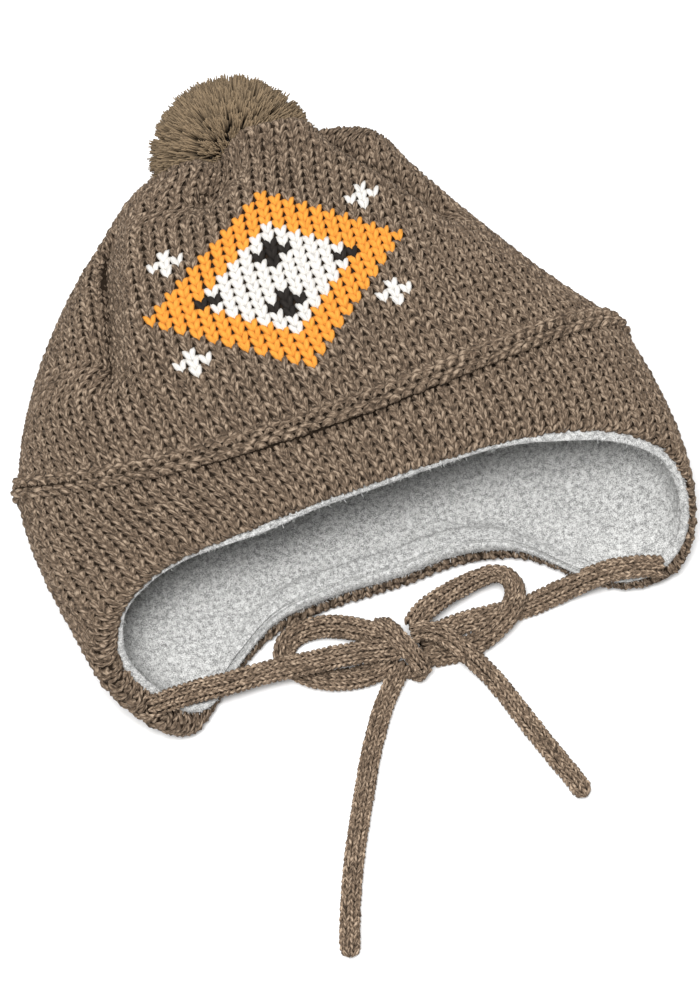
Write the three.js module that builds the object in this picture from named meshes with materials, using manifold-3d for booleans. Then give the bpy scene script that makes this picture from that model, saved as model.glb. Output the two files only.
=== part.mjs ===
import * as THREE from 'three';
import { mergeVertices } from 'three/addons/utils/BufferGeometryUtils.js';
import Module from 'manifold-3d';

// A baby's knitted earflap hat with a pompom, a raised purl ridge, a fleece lining and two ties in a bow.
// It lies on its back. Millimetres, +Z up. x runs across the hat, +y runs up the hat to the pompom,
// and the face opening looks towards -y. Turn is the angle round the hat: 0 is the middle of the front,
// 90 the wearer's left side (+x), 180 the middle of the back, which rests on the surface.

const HAT_WIDTH = 212; // across the ridge, lying flat
const FRONT_RISE = 62; // height of the ridge's front above the surface
const CROWN_REACH = 118; // from the ridge line's datum to the top fold
const FLAP_REACH = 56; // from the same datum forward to the earflap's corner
const KNIT_WALL = 2.6; // thickness of the main knit
const LINING_WALL = 2.4; // thickness of the fleece
const PIECE_GAP = 0.3; // clearance between neighbouring pieces
const LINING_EASE = 1; // room between the fleece and the knit that it lines
const RIDGE_TALL = 8.4; // height of the purl ridge along the hat
const RIDGE_PROUD = 3.2; // how far its lower edge stands off the knit
const HEM_FULLNESS = 9; // how far the knit swells outside the opening's edge at the sides
const HEM_ROLL = 9; // how far the knit rolls forward past the lining's edge
const LINING_RIM = 2.7; // width of the lining's edge that shows in the opening
const FACING_WIDTH = 11; // strip of doubled fleece along the nape
const FACING_STEP = 1.2; // how far that strip stands off the lining
const POM_DIAMETER = 59;
const TIE_DIAMETER = 5.8; // round section as large as the flat knitted cord's
const KNOT_LENGTH = 23; // across the bow's knot
const KNOT_WIDTH = 19;
const KNOT_HEIGHT = 14;

const HALF = HAT_WIDTH / 2;
const POM_RADIUS = POM_DIAMETER / 2;

// Rings of the crown from the ridge to the gather. half and mid are shares of the half width, front, side
// and back are places along y as shares of the crown's reach, lean tilts the front of the ring by a share
// of that reach, and top, waist and bottom are heights as shares of the front's rise. swell says which way
// the wall lies from the ring: 1 inside it, -1 outside it, where the tip turns in round the pompom.
const CROWN_RINGS = [
  { at: 0.00, half: 1.000, mid: 0.000, front: 0.106, side: 0.271, back: 0.203, lean: 0.085,
    top: 1.000, waist: 0.468, bottom: -0.081, curve: 1.20, flat: 0.80, swell: 1, pull: 0 },
  { at: 0.17, half: 0.882, mid: -0.042, front: 0.305, side: 0.449, back: 0.373, lean: 0.076,
    top: 1.081, waist: 0.484, bottom: -0.081, curve: 1.15, flat: 0.80, swell: 1, pull: 0 },
  { at: 0.38, half: 0.731, mid: -0.057, front: 0.542, side: 0.661, back: 0.576, lean: 0.068,
    top: 1.145, waist: 0.516, bottom: -0.081, curve: 1.05, flat: 0.80, swell: 1, pull: 0 },
  { at: 0.60, half: 0.557, mid: -0.033, front: 0.780, side: 0.864, back: 0.763, lean: 0.042,
    top: 1.161, waist: 0.581, bottom: -0.065, curve: 0.95, flat: 0.80, swell: 1, pull: 0 },
];
const OUTER_TIP = [
  { at: 0.80, half: 0.406, mid: 0.009, front: 0.983, side: 1.000, back: 0.915, lean: 0,
    top: 1.081, waist: 0.677, bottom: 0.016, curve: 0.90, flat: 0.85, swell: 0.7, pull: 0.7 },
  { at: 0.90, half: 0.283, mid: -0.009, front: 0.992, side: 0.958, back: 0.898, lean: 0,
    top: 0.968, waist: 0.645, bottom: 0.194, curve: 1, flat: 1, swell: -0.7, pull: 0.7 },
  { at: 1.00, half: 0.085, mid: -0.028, front: 0.864, side: 0.864, back: 0.856, lean: 0,
    top: 0.677, waist: 0.565, bottom: 0.452, curve: 1, flat: 1, swell: 0, pull: 1 },
];
const INNER_TIP = [
  { at: 0.80, half: 0.377, mid: 0.000, front: 0.915, side: 0.924, back: 0.856, lean: 0,
    top: 1.120, waist: 0.660, bottom: 0.030, curve: 0.95, flat: 0.85, swell: 1, pull: 1 },
  { at: 1.00, half: 0.190, mid: -0.020, front: 0.890, side: 0.890, back: 0.856, lean: 0,
    top: 0.870, waist: 0.610, bottom: 0.320, curve: 1, flat: 1, swell: 1, pull: 1 },
];

// The edge where knit meets lining, round the face opening. across is a share of the half width,
// along of the flaps' reach, up of the front's rise.
const HEM_STATIONS = [
  { turn: 0, across: 0.028, along: -0.196, up: 0.919 },
  { turn: 28, across: 0.472, along: -0.143, up: 0.895 },
  { turn: 52, across: 0.783, along: -0.196, up: 0.806 },
  { turn: 74, across: 0.962, along: -0.339, up: 0.645 },
  { turn: 90, across: 1.019, along: -0.536, up: 0.468 },
  { turn: 108, across: 1.000, along: -0.732, up: 0.226 },
  { turn: 128, across: 0.887, along: -0.857, up: 0.097 },
  { turn: 146, across: 0.708, along: -0.790, up: 0.070 },
  { turn: 161, across: 0.495, along: -0.480, up: 0.065 },
  { turn: 171, across: 0.302, along: -0.402, up: 0.065 },
  { turn: 180, across: 0.094, along: -0.436, up: 0.065 },
  { turn: 191, across: -0.123, along: -0.446, up: 0.065 },
  { turn: 202, across: -0.340, along: -0.509, up: 0.065 },
  { turn: 214, across: -0.509, along: -0.723, up: 0.070 },
  { turn: 233, across: -0.679, along: -0.955, up: 0.097 },
  { turn: 254, across: -0.811, along: -0.821, up: 0.274 },
  { turn: 270, across: -0.849, along: -0.607, up: 0.468 },
  { turn: 289, across: -0.792, along: -0.375, up: 0.661 },
  { turn: 309, across: -0.623, along: -0.250, up: 0.790 },
  { turn: 333, across: -0.340, along: -0.232, up: 0.879 },
];

// Folds and swells in the front of the crown. depth and width are shares of the front's rise, and each
// point is a share of the half width across and of the crown's reach along. A negative depth stands up.
const FOLDS = [
  { name: 'left valley', depth: 0.129, width: 0.097,
    points: [[-0.47, 0.95], [-0.54, 0.83], [-0.575, 0.68], [-0.61, 0.525], [-0.64, 0.37]] },
  { name: 'right valley', depth: 0.113, width: 0.097,
    points: [[0.21, 0.98], [0.34, 0.88], [0.47, 0.763], [0.585, 0.644]] },
  { name: 'notch', depth: 0.145, width: 0.097,
    points: [[-0.16, 1.1], [-0.104, 0.966], [-0.085, 0.915], [-0.17, 0.856], [-0.264, 0.83]] },
  { name: 'top roll', depth: -0.129, width: 0.129,
    points: [[-0.085, 1.034], [0.038, 1.017], [0.132, 0.983], [0.208, 0.94]] },
];

// The fleece hangs a little lower than the knit in each fold, by this share of the fold.
const FOLD_SLACK = 0.2;

// The route of each stretch of tie, chosen by hand. Each ends in the bow's knot.
const KNOT_PLACE = [3, -51.5, 7.1];
const TIE_ROUTES = {
  tie_left: [
    [-83.8, -51.3, 18.5], [-80, -51, 17.1], [-76, -49.8, 15.1], [-71, -48.8, 13.2], [-65, -48, 11.6],
    [-58.2, -47.9, 10.4], [-52, -47.6, 9.9], [-45, -47.4, 9.5], [-37, -47.7, 9.6], [-29.8, -48.3, 9.9],
    [-23.7, -48.7, 10.2], [-17, -49.2, 10.4], [-10.6, -49.8, 10], [-5.9, -50.3, 9.4], [-2, -50.8, 8.6],
    [2, -51.2, 8],
  ],
  loop_left: [
    [1, -47, 8.4], [-3.3, -44.6, 8], [-7.2, -41.7, 7], [-11.3, -39, 6], [-15.4, -36.8, 5],
    [-19.7, -35.2, 4.2], [-24.6, -34.6, 3.7], [-29.3, -35.2, 3.3], [-33, -37.2, 3.1], [-34.8, -40.2, 3],
    [-34.5, -44, 3], [-31.9, -48.1, 3], [-27.4, -51.6, 3], [-20, -54.4, 3], [-13, -55.5, 3.2],
    [-6.5, -55, 4.2], [-2, -53.2, 5.6],
  ],
  tail_left: [
    [2, -55.5, 4.6], [-2.2, -60, 3.7], [-5.1, -63.4, 3.2], [-8.1, -67.2, 3], [-11.5, -72.5, 3],
    [-15.7, -79.6, 3], [-19.8, -87.5, 3], [-23.5, -95.3, 3], [-27.2, -103.1, 3], [-30.8, -110.9, 3],
    [-34.1, -118.7, 3], [-37.1, -126.5, 3], [-39.8, -134.4, 3], [-41.9, -141.3, 3], [-42.9, -145.8, 3],
  ],
  tail_right: [
    [7.5, -48.4, 10.2], [11.4, -48.6, 10.6], [14.4, -49.9, 10.6], [17.2, -51.9, 10.3], [19.4, -54.6, 9.7],
    [21.5, -57.4, 8.9], [24, -60.6, 7.2], [26.7, -64.3, 5], [28.9, -68, 3.6], [31, -72.8, 3],
    [33, -78.5, 3], [35.1, -84.7, 3], [37.4, -91.2, 3], [39.9, -98, 3], [42.3, -104.5, 3],
    [44.5, -110.4, 3], [46.1, -115.9, 3],
  ],
  loop_right: [
    [8.5, -45, 8.4], [12.4, -41.8, 8.6], [15.6, -40, 8.7], [19.9, -38.2, 8.3], [24.8, -36.4, 7.4],
    [30.4, -34.9, 6.4], [35.7, -34, 6.4], [40.5, -34.4, 7.4], [43.9, -37.2, 8.8], [45, -41.6, 9.8],
    [43.6, -46.2, 9.8], [40.2, -50, 9], [35.4, -52.8, 7.2], [30.6, -54.6, 4.9], [25.4, -55.5, 3.3],
    [20, -55.8, 3], [14.6, -55.4, 3], [9.5, -54, 3.4],
  ],
  tie_right: [
    [94, -49.7, 11.8], [89, -48.1, 12.3], [83, -46.8, 12.3], [77, -46, 11.6], [71.5, -45.7, 9.8],
    [65.7, -45.4, 6.3], [59.9, -45.7, 4.2], [54.7, -46.3, 3.3], [49.9, -46.9, 3], [44.8, -47.2, 3],
    [39.9, -47.2, 3], [35, -46.9, 3], [29.5, -46.8, 3], [23.8, -46.9, 3.1], [18.7, -47.6, 3.5],
    [14, -48.6, 4.2], [9.5, -49.6, 5],
  ],
};

const wasm = await Module();
wasm.setup();

const hat = new THREE.Group();

const materials = {
  knit: new THREE.MeshStandardMaterial({ color: 0x75685a, roughness: 0.95, metalness: 0 }),
  pompom: new THREE.MeshStandardMaterial({ color: 0x7a6c56, roughness: 1, metalness: 0 }),
  fleece: new THREE.MeshStandardMaterial({ color: 0xb4b6b9, roughness: 1, metalness: 0 }),
};

// adds one named piece of the hat
function addPiece(name, geometry, material) {
  const mesh = new THREE.Mesh(geometry, material);
  mesh.name = name;
  hat.add(mesh);
}

// A blend of four neighbours a, b, c, d at their keys, between b and c.
function hermite(a, b, c, d, keys, share) {
  const span = keys[2] - keys[1];
  const startSlope = c.clone().sub(a).multiplyScalar(span / (keys[2] - keys[0]));
  const endSlope = d.clone().sub(b).multiplyScalar(span / (keys[3] - keys[1]));
  const s2 = share * share;
  const s3 = s2 * share;
  return b.clone().multiplyScalar(2 * s3 - 3 * s2 + 1)
    .addScaledVector(startSlope, s3 - 2 * s2 + share)
    .addScaledVector(c, 3 * s2 - 2 * s3)
    .addScaledVector(endSlope, s3 - s2);
}

// A point of one crown ring, with the ring drawn in by the inset.
function ringPoint(ring, turn, inset) {
  const s = Math.sin(turn);
  const c = Math.cos(turn);
  const drawIn = inset * ring.swell;
  const waist = ring.waist * FRONT_RISE;
  const top = ring.top * FRONT_RISE - drawIn;
  const bottom = ring.bottom * FRONT_RISE + drawIn;
  const along = (c > 0 ? ring.front : ring.back) * c * c + ring.side * s * s + (c > 0 ? ring.lean * s * c : 0);
  return new THREE.Vector3(
    ring.mid * HALF + (ring.half * HALF - drawIn) * s,
    along * CROWN_REACH - inset * ring.pull,
    c > 0 ? waist + (top - waist) * c ** ring.curve : waist - (waist - bottom) * (-c) ** ring.flat,
  );
}

// Distance from a point to a run of points in plan, and how far along the run it lies, 0 to 1.
function nearRun(x, y, points) {
  let best = { distance: Infinity, along: 0 };
  for (let i = 0; i < points.length - 1; i += 1) {
    const start = new THREE.Vector2(points[i][0] * HALF, points[i][1] * CROWN_REACH);
    const step = new THREE.Vector2(points[i + 1][0] * HALF, points[i + 1][1] * CROWN_REACH).sub(start);
    const reach = new THREE.Vector2(x, y).sub(start);
    const share = THREE.MathUtils.clamp(reach.dot(step) / step.lengthSq(), 0, 1);
    const distance = reach.addScaledVector(step, -share).length();
    if (distance < best.distance) best = { distance, along: (i + share) / (points.length - 1) };
  }
  return best;
}

// How far the folds press the front of the crown down at a place.
function foldDepth(x, y, frontness) {
  let total = 0;
  for (const fold of FOLDS) {
    const near = nearRun(x, y, fold.points);
    const fade = Math.min(1, Math.min(near.along, 1 - near.along) * 4 + 0.35);
    total += fold.depth * fade * Math.exp(-((near.distance / (fold.width * FRONT_RISE)) ** 2));
  }
  return total * FRONT_RISE * Math.min(1, frontness * 2.5);
}

// A point of the crown: reach 0 is the ridge, 1 the last ring.
function crownPoint(tip, reach, turn, inset) {
  const rings = [...CROWN_RINGS, ...tip];
  let i = 0;
  while (i < rings.length - 2 && reach > rings[i + 1].at) i += 1;
  const four = [Math.max(i - 1, 0), i, i + 1, Math.min(i + 2, rings.length - 1)];
  const points = four.map((k) => ringPoint(rings[k], turn, inset));
  const keys = four.map((k) => rings[k].at);
  const share = (reach - keys[1]) / (keys[2] - keys[1]);
  const point = hermite(...points, keys, share);
  const surface = hermite(...four.map((k) => ringPoint(rings[k], turn, 0)), keys, share);
  const fold = foldDepth(surface.x, surface.y, Math.max(0, Math.cos(turn)));
  point.z -= fold + (inset > KNIT_WALL ? FOLD_SLACK * Math.abs(fold) : 0);
  point.z = Math.max(point.z, inset);
  return point;
}

// The point of the opening's edge at a turn.
function hemPoint(turn) {
  const degrees = (THREE.MathUtils.radToDeg(turn) + 360) % 360;
  const count = HEM_STATIONS.length;
  const station = (k) => {
    const s = HEM_STATIONS[(k + count) % count];
    return new THREE.Vector3(s.across * HALF, s.along * FLAP_REACH, s.up * FRONT_RISE);
  };
  const key = (k) => HEM_STATIONS[(k + count) % count].turn + 360 * Math.floor(k / count);
  let i = 0;
  while (i < count - 1 && degrees >= HEM_STATIONS[i + 1].turn) i += 1;
  const four = [i - 1, i, i + 1, i + 2];
  const keys = four.map(key);
  return hermite(...four.map(station), keys, (degrees - keys[1]) / (keys[2] - keys[1]));
}

// Four layers of the band and lining. rimOut and rimBack place the layer's own edge off the hem's edge,
// and swellOut and swellBack its control point near that edge.
const LAYERS = {
  knitOutside: { inset: 0, rimOut: 0, rimBack: 0, near: 2, swell: HEM_FULLNESS, nearBack: -2, roll: HEM_ROLL * 1.7 },
  knitInside: { inset: KNIT_WALL, rimOut: KNIT_WALL * 0.8, rimBack: KNIT_WALL * 0.6,
    near: KNIT_WALL * 0.8, swell: HEM_FULLNESS * 0.65, nearBack: KNIT_WALL * 1.4, roll: 0 },
  liningOutside: { inset: KNIT_WALL + LINING_EASE, rimOut: -PIECE_GAP, rimBack: 0,
    near: 0.8, swell: HEM_FULLNESS * 0.45, nearBack: 8, roll: 0 },
  liningInside: { inset: KNIT_WALL + LINING_EASE + LINING_WALL, rimOut: -PIECE_GAP - LINING_RIM, rimBack: 0,
    near: -PIECE_GAP - LINING_RIM, swell: HEM_FULLNESS * 0.45, nearBack: 9, roll: 0 },
};

// the way out of the hat's side at a turn
function outward(turn) {
  return new THREE.Vector3(Math.sin(turn), 0, 0.6 * Math.cos(turn)).normalize();
}

// A point of the band: share 0 is the ridge, 1 the layer's edge at the opening.
function bandPoint(layer, share, turn) {
  const sideness = Math.sin(turn) ** 2;
  const rollness = Math.cos(turn) < 0 ? 1 : sideness;
  const out = outward(turn);
  const ridge = ringPoint(CROWN_RINGS[0], turn, layer.inset);
  const hem = hemPoint(turn);
  const run = hem.distanceTo(ringPoint(CROWN_RINGS[0], turn, 0));
  const first = ridge.clone().addScaledVector(out, 1 + 3 * sideness);
  first.y -= run * 0.4;
  const second = hem.clone().addScaledVector(out, layer.near + layer.swell * sideness);
  second.y += layer.nearBack - layer.roll * rollness;
  const edge = hem.clone().addScaledVector(out, layer.rimOut);
  edge.y += layer.rimBack;
  const point = new THREE.CubicBezierCurve3(ridge, first, second, edge).getPoint(share);
  point.z = Math.max(point.z, layer.inset);
  return point;
}

// Turns round the hat, closer together over the front than over the resting back.
function turnsRound(frontCount, backCount) {
  const turns = [];
  for (let i = 0; i < frontCount; i += 1) turns.push(-Math.PI / 2 + (Math.PI * i) / frontCount);
  for (let i = 0; i < backCount; i += 1) turns.push(Math.PI / 2 + (Math.PI * i) / backCount);
  return turns;
}

// Joins rows of points into one closed skin. Rows run round the hat; with poles the first and last rows
// close on a middle point, and without them the last row joins the first. Each patch of four points is
// split along its shorter diagonal, so that two layers that run side by side are split alike.
function skin(rows, withPoles) {
  const count = rows[0].length;
  const positions = rows.flat();
  const faces = [];
  const last = withPoles ? rows.length - 1 : rows.length;
  for (let r = 0; r < last; r += 1) {
    const next = (r + 1) % rows.length;
    for (let k = 0; k < count; k += 1) {
      const a = r * count + k;
      const b = r * count + ((k + 1) % count);
      const c = next * count + ((k + 1) % count);
      const d = next * count + k;
      const overAC = positions[a].distanceTo(positions[c]) <= positions[b].distanceTo(positions[d]);
      if (overAC) faces.push([a, c, b], [a, d, c]);
      else faces.push([a, d, b], [b, d, c]);
    }
  }
  if (withPoles) {
    for (const [row, flip] of [[0, false], [rows.length - 1, true]]) {
      const centre = rows[row].reduce((sum, p) => sum.add(p), new THREE.Vector3()).divideScalar(count);
      positions.push(centre);
      for (let k = 0; k < count; k += 1) {
        const a = row * count + k;
        const b = row * count + ((k + 1) % count);
        const tip = positions.length - 1;
        faces.push(flip ? [a, tip, b] : [a, b, tip]);
      }
    }
  }
  const geometry = new THREE.BufferGeometry();
  geometry.setAttribute('position', new THREE.Float32BufferAttribute(positions.flatMap((p) => p.toArray()), 3));
  geometry.setIndex(faces.flat());
  return geometry;
}

const HAT_TURNS = turnsRound(30, 22);
const INNER_REACHES = [0.1, 0.2, 0.3, 0.4, 0.5, 0.6, 0.7, 0.8, 0.9, 1];

// evenly spaced shares from start to end
function spread(start, end, count) {
  return Array.from({ length: count }, (_, i) => start + ((end - start) * i) / (count - 1));
}

// The ridge's edges, half its height above and below the ridge line, as a reach and as a band's share.
const ringStep = (CROWN_RINGS[1].front - CROWN_RINGS[0].front) * CROWN_REACH;
const reachPerLength = CROWN_RINGS[1].at / ringStep;

function bandShare(turn, length) {
  const run = hemPoint(turn).distanceTo(ringPoint(CROWN_RINGS[0], turn, 0));
  return length / (1.2 * run);
}

const crownRow = (tip, reach, inset) => HAT_TURNS.map((turn) => crownPoint(tip, reach, turn, inset));
const bandRow = (layer, share) => HAT_TURNS.map((turn) => bandPoint(layer, share, turn));

// Crown: the knit above the ridge, closed at its gather, open at the ridge.
function crownGeometry() {
  const edge = (RIDGE_TALL / 2 + PIECE_GAP) * reachPerLength;
  const outerReaches = [...spread(edge, 0.8, 13), 0.85, 0.9, 0.95, 1];
  const outer = outerReaches.map((reach) => crownRow(OUTER_TIP, reach, 0)).reverse();
  const inner = [edge, ...INNER_REACHES].map((reach) => crownRow(INNER_TIP, reach, KNIT_WALL));
  return skin([...outer, ...inner], true);
}

// Band: the knit below the ridge with both earflaps, rolled in at the opening.
function bandGeometry() {
  const row = (layer, share) => HAT_TURNS.map((turn) => {
    const start = bandShare(turn, RIDGE_TALL / 2 + 1.5 * PIECE_GAP);
    return bandPoint(layer, start + (1 - start) * share, turn);
  });
  const outer = spread(0, 1, 9).map((share) => row(LAYERS.knitOutside, share));
  const inner = spread(1, 0, 6).map((share) => row(LAYERS.knitInside, share));
  return skin([...outer, ...inner], false);
}

// Ridge: the purl welt between crown and band, proudest at its lower edge.
function ridgeGeometry() {
  const profile = [
    { place: 1, proud: -KNIT_WALL }, { place: 1, proud: 0.2 }, { place: 0.6, proud: RIDGE_PROUD * 0.6 },
    { place: -0.1, proud: RIDGE_PROUD * 0.95 }, { place: -0.85, proud: RIDGE_PROUD * 0.9 },
    { place: -1, proud: 0.1 }, { place: -1, proud: -KNIT_WALL },
  ];
  const row = ({ place, proud }) => HAT_TURNS.map((turn) => {
    const length = (place * RIDGE_TALL) / 2;
    const inset = Math.max(0, -proud);
    const point = length > 0
      ? crownPoint(OUTER_TIP, length * reachPerLength, turn, inset)
      : bandPoint({ ...LAYERS.knitOutside, inset }, bandShare(turn, -length), turn);
    point.addScaledVector(outward(turn), Math.max(0, proud));
    point.z = Math.max(point.z, inset);
    return point;
  });
  return skin(profile.map(row), false);
}

// Lining: one fleece layer through the crown and band, with a doubled strip along the nape.
function liningGeometry() {
  const outside = LAYERS.liningOutside;
  const inside = LAYERS.liningInside;
  const rimMiddle = HAT_TURNS.map((turn) => {
    const middle = bandPoint(outside, 1, turn).add(bandPoint(inside, 1, turn)).multiplyScalar(0.5);
    middle.y -= LINING_RIM * 0.25;
    return middle;
  });
  const insideRow = (share) => HAT_TURNS.map((turn) => {
    const point = bandPoint(inside, share, turn);
    const fromRim = point.distanceTo(bandPoint(inside, 1, turn));
    const nape = THREE.MathUtils.smoothstep(-Math.cos(turn), 0.35, 0.6);
    const onStrip = 1 - THREE.MathUtils.smoothstep(fromRim, FACING_WIDTH - 1, FACING_WIDTH + 1);
    return point.addScaledVector(outward(turn), -FACING_STEP * nape * onStrip);
  });
  const rows = [
    ...[...INNER_REACHES].reverse().map((reach) => crownRow(INNER_TIP, reach, outside.inset)),
    ...[0.1, 0.35, 0.6, 0.8, 0.92, 1].map((share) => bandRow(outside, share)),
    rimMiddle,
    ...[1, 0.92, 0.85, 0.79, 0.55, 0.25].map(insideRow),
    ...[0.1, 0.3, 0.5, 0.7, 0.85, 1].map((reach) => crownRow(INNER_TIP, reach, inside.inset)),
  ];
  return skin(rows, true);
}

// a closed mesh as a solid that can be joined and cut
function solid(geometry) {
  const bare = geometry.clone();
  bare.deleteAttribute('normal');
  bare.deleteAttribute('uv');
  const merged = mergeVertices(bare, 1e-4);
  return new wasm.Manifold(new wasm.Mesh({
    numProp: 3,
    vertProperties: new Float32Array(merged.attributes.position.array),
    triVerts: new Uint32Array(merged.index.array),
  }));
}

function geometryOf(cutSolid) {
  const mesh = cutSolid.getMesh();
  const geometry = new THREE.BufferGeometry();
  geometry.setAttribute('position', new THREE.BufferAttribute(mesh.vertProperties, 3));
  geometry.setIndex(new THREE.BufferAttribute(mesh.triVerts, 1));
  return geometry;
}

// Pompom: a round head of yarn with locks that fan out from its middle, pressed against the crown's tip.
function pompomGeometry() {
  const gatherY = OUTER_TIP[2].front * CROWN_REACH;
  const centre = new THREE.Vector3(OUTER_TIP[2].mid * HALF, gatherY + POM_RADIUS, POM_RADIUS);
  const head = new THREE.SphereGeometry(POM_RADIUS * 0.9, 14, 10);
  head.translate(...centre.toArray());
  let pom = solid(head);
  const lockCount = 26;
  for (let i = 0; i < lockCount; i += 1) {
    const up = 1 - (2 * (i + 0.5)) / lockCount;
    const turn = i * Math.PI * (3 - Math.sqrt(5));
    const level = Math.sqrt(1 - up * up);
    const way = new THREE.Vector3(level * Math.cos(turn), level * Math.sin(turn), up);
    const lock = new THREE.CylinderGeometry(POM_RADIUS * 0.22, POM_RADIUS * 0.14, POM_RADIUS * 0.6, 5);
    lock.translate(0, POM_RADIUS * 0.67, 0);
    lock.applyQuaternion(new THREE.Quaternion().setFromUnitVectors(new THREE.Vector3(0, 1, 0), way));
    lock.translate(...centre.toArray());
    pom = pom.add(solid(lock));
  }
  const below = new THREE.BoxGeometry(4 * POM_RADIUS, 4 * POM_RADIUS, POM_RADIUS);
  below.translate(centre.x, centre.y, -POM_RADIUS / 2);
  const tipReaches = [1, 0.95, 0.9, 0.85, 0.8, 0.7, 0.6];
  const tipForm = skin(tipReaches.map((reach) => crownRow(OUTER_TIP, reach, -PIECE_GAP)), true);
  pom = pom.subtract(solid(below)).subtract(solid(tipForm));
  return geometryOf(pom);
}

// The bow's knot, a rounded lump where the ties cross.
function knotForm(grow) {
  const knot = new THREE.SphereGeometry(1, 16, 10);
  knot.rotateX(Math.PI / 2);
  knot.scale(KNOT_LENGTH / 2 + grow, KNOT_WIDTH / 2 + grow, KNOT_HEIGHT / 2 + grow);
  knot.translate(...KNOT_PLACE);
  return knot;
}

// One stretch of tie along its route, ending just short of the knot.
function tieGeometry(route) {
  const curve = new THREE.CatmullRomCurve3(route.map((p) => new THREE.Vector3(...p)), false, 'centripetal');
  const section = new THREE.Shape();
  section.absarc(0, 0, TIE_DIAMETER / 2, 0, Math.PI * 2, false);
  const steps = Math.round(curve.getLength() / (TIE_DIAMETER * 1.1));
  const tube = new THREE.ExtrudeGeometry(section, {
    steps, extrudePath: curve, bevelEnabled: false, curveSegments: 4,
  });
  return geometryOf(solid(tube).subtract(solid(knotForm(PIECE_GAP))));
}

addPiece('crown', crownGeometry(), materials.knit);
addPiece('ridge', ridgeGeometry(), materials.knit);
addPiece('band', bandGeometry(), materials.knit);
addPiece('lining', liningGeometry(), materials.fleece);
addPiece('pompom', pompomGeometry(), materials.pompom);

// The part's origin is the middle of its footprint without the ties.
const footprint = new THREE.Box3().setFromObject(hat);
const middle = footprint.getCenter(new THREE.Vector3());

addPiece('bow_knot', knotForm(0), materials.knit);
for (const [name, route] of Object.entries(TIE_ROUTES)) addPiece(name, tieGeometry(route), materials.knit);
hat.position.set(-middle.x, -middle.y, 0);

const part = new THREE.Group();
part.add(hat);

export default part;
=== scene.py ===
"""Baby's knitted earflap hat with a pompom, knitted stitch by stitch over its CAD frame."""
import math

import bpy
import numpy as np
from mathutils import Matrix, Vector
from mathutils.bvhtree import BVHTree


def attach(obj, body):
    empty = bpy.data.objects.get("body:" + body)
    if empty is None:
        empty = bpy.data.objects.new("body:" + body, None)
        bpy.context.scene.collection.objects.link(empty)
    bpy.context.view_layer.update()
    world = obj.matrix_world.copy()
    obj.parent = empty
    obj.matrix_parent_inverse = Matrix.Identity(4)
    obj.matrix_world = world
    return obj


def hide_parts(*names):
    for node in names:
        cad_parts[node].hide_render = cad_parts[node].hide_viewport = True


bl_info = {
    "name": "Pom-pom Knit Hat",
    "version": (1, 0, 0),
    "blender": (4, 5, 0),
    "location": "View3D > Sidebar > Knit Hat",
    "description": "Knits the hat, its fleece lining, pompom and ties over the packed frame",
    "category": "Object",
}

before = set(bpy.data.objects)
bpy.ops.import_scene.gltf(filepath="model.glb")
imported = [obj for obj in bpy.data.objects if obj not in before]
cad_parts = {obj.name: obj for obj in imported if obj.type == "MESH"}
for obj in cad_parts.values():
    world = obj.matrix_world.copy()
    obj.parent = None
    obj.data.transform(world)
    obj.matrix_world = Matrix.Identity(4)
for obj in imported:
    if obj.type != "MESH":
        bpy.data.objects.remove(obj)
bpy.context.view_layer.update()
bpy.ops.object.select_all(action="DESELECT")

MM = 0.001

# The hat's own sizes in metres, as in the part's source.
HALF = 0.106
FRONT_RISE = 0.062
CROWN_REACH = 0.118
FLAP_REACH = 0.056
KNIT_WALL = 0.0026
LINING_WALL = 0.0024
LINING_EASE = 0.001
PIECE_GAP = 0.0003
RIDGE_TALL = 0.0084
POM_RADIUS = 0.0295
POM_PLACE = np.array([-0.003, 0.1315, POM_RADIUS])

# The share of a fold's depth by which the fleece hangs slack below it, as in the part's source.
FOLD_SLACK = 0.2

# Sizes that are drawn a few millimetres fuller here than in the part's source, in metres.
HEM_FULLNESS = 0.0105
HEM_ROLL = 0.0098
LINING_RIM = 0.0038
FACING_WIDTH = 0.0135
FACING_STEP = 0.0026

# How deep under the knit's outer face the stitches and the backing behind them lie, in metres. The
# backing's dark colour is painted shade between the stitches.
STITCH_INSET = 0.0010
BACKING_INSET = 0.0018
# How far stitches stray at random: in columns, in rows and in metres of height.
STITCH_JITTER = (0.022, 0.035, 0.00007)
PURL_JITTER = (0.02, 0.05, 0.0001)
TAPE_JITTER = (0.03, 0.05, 0.00005)
# A yarn's thickness as a share of its width, and the yarns of the ridge and the ties, in metres.
YARN_FLATNESS = 0.86
PURL_YARN = 0.0023
PURL_ROW = 0.0023
TAPE_YARN_WIDE = 0.0012
TAPE_YARN_THICK = 0.0011
# The tails and the knot draw the tape in to these shares of its full section.
TAIL_SLIM = 0.88
KNOT_SLIM = 0.86
# How far under its stitches the tape's own body lies, in metres.
TAPE_BODY_INSET = 0.0004
# How far the hem turns round on itself, and the ridge flattens towards the hat's sides.
ROLL_TURN = math.radians(195)
RIDGE_SIDE_FLATTENING = 0.65
FLEECE_STRANDS = 11000
POM_STRANDS = 19500
POM_TUFTS = 620
# The lowest that strands and ties, and then stitches, are drawn above the surface, in metres.
OFF_TABLE = 0.0001
STITCH_OFF_TABLE = 0.00008
# Where each piece's random draws start.
SEEDS = {
    "crown": 11, "motif": 21, "ridge": 31, "band": 40, "fleece": 51, "pile": 52,
    "pompom": 61, "strands": 62, "knot": 71, "ties": 81,
}

# The camera's place round and above the hat, as in the photo, and the soft studio light:
# name, place from the hat's middle in metres, width in metres and power in watts.
CAMERA_AZIMUTH = math.radians(-16.5)
CAMERA_ELEVATION = math.radians(66)
CAMERA_DISTANCE = 1.0
CAMERA_LENS = 107.46
LIGHTS = (
    ("key_softbox", (-0.35, -0.44, 1.8), 0.7, 44.0),
    ("fill_softbox", (0.3, 0.3, 1.7), 1.3, 12.0),
)

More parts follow.
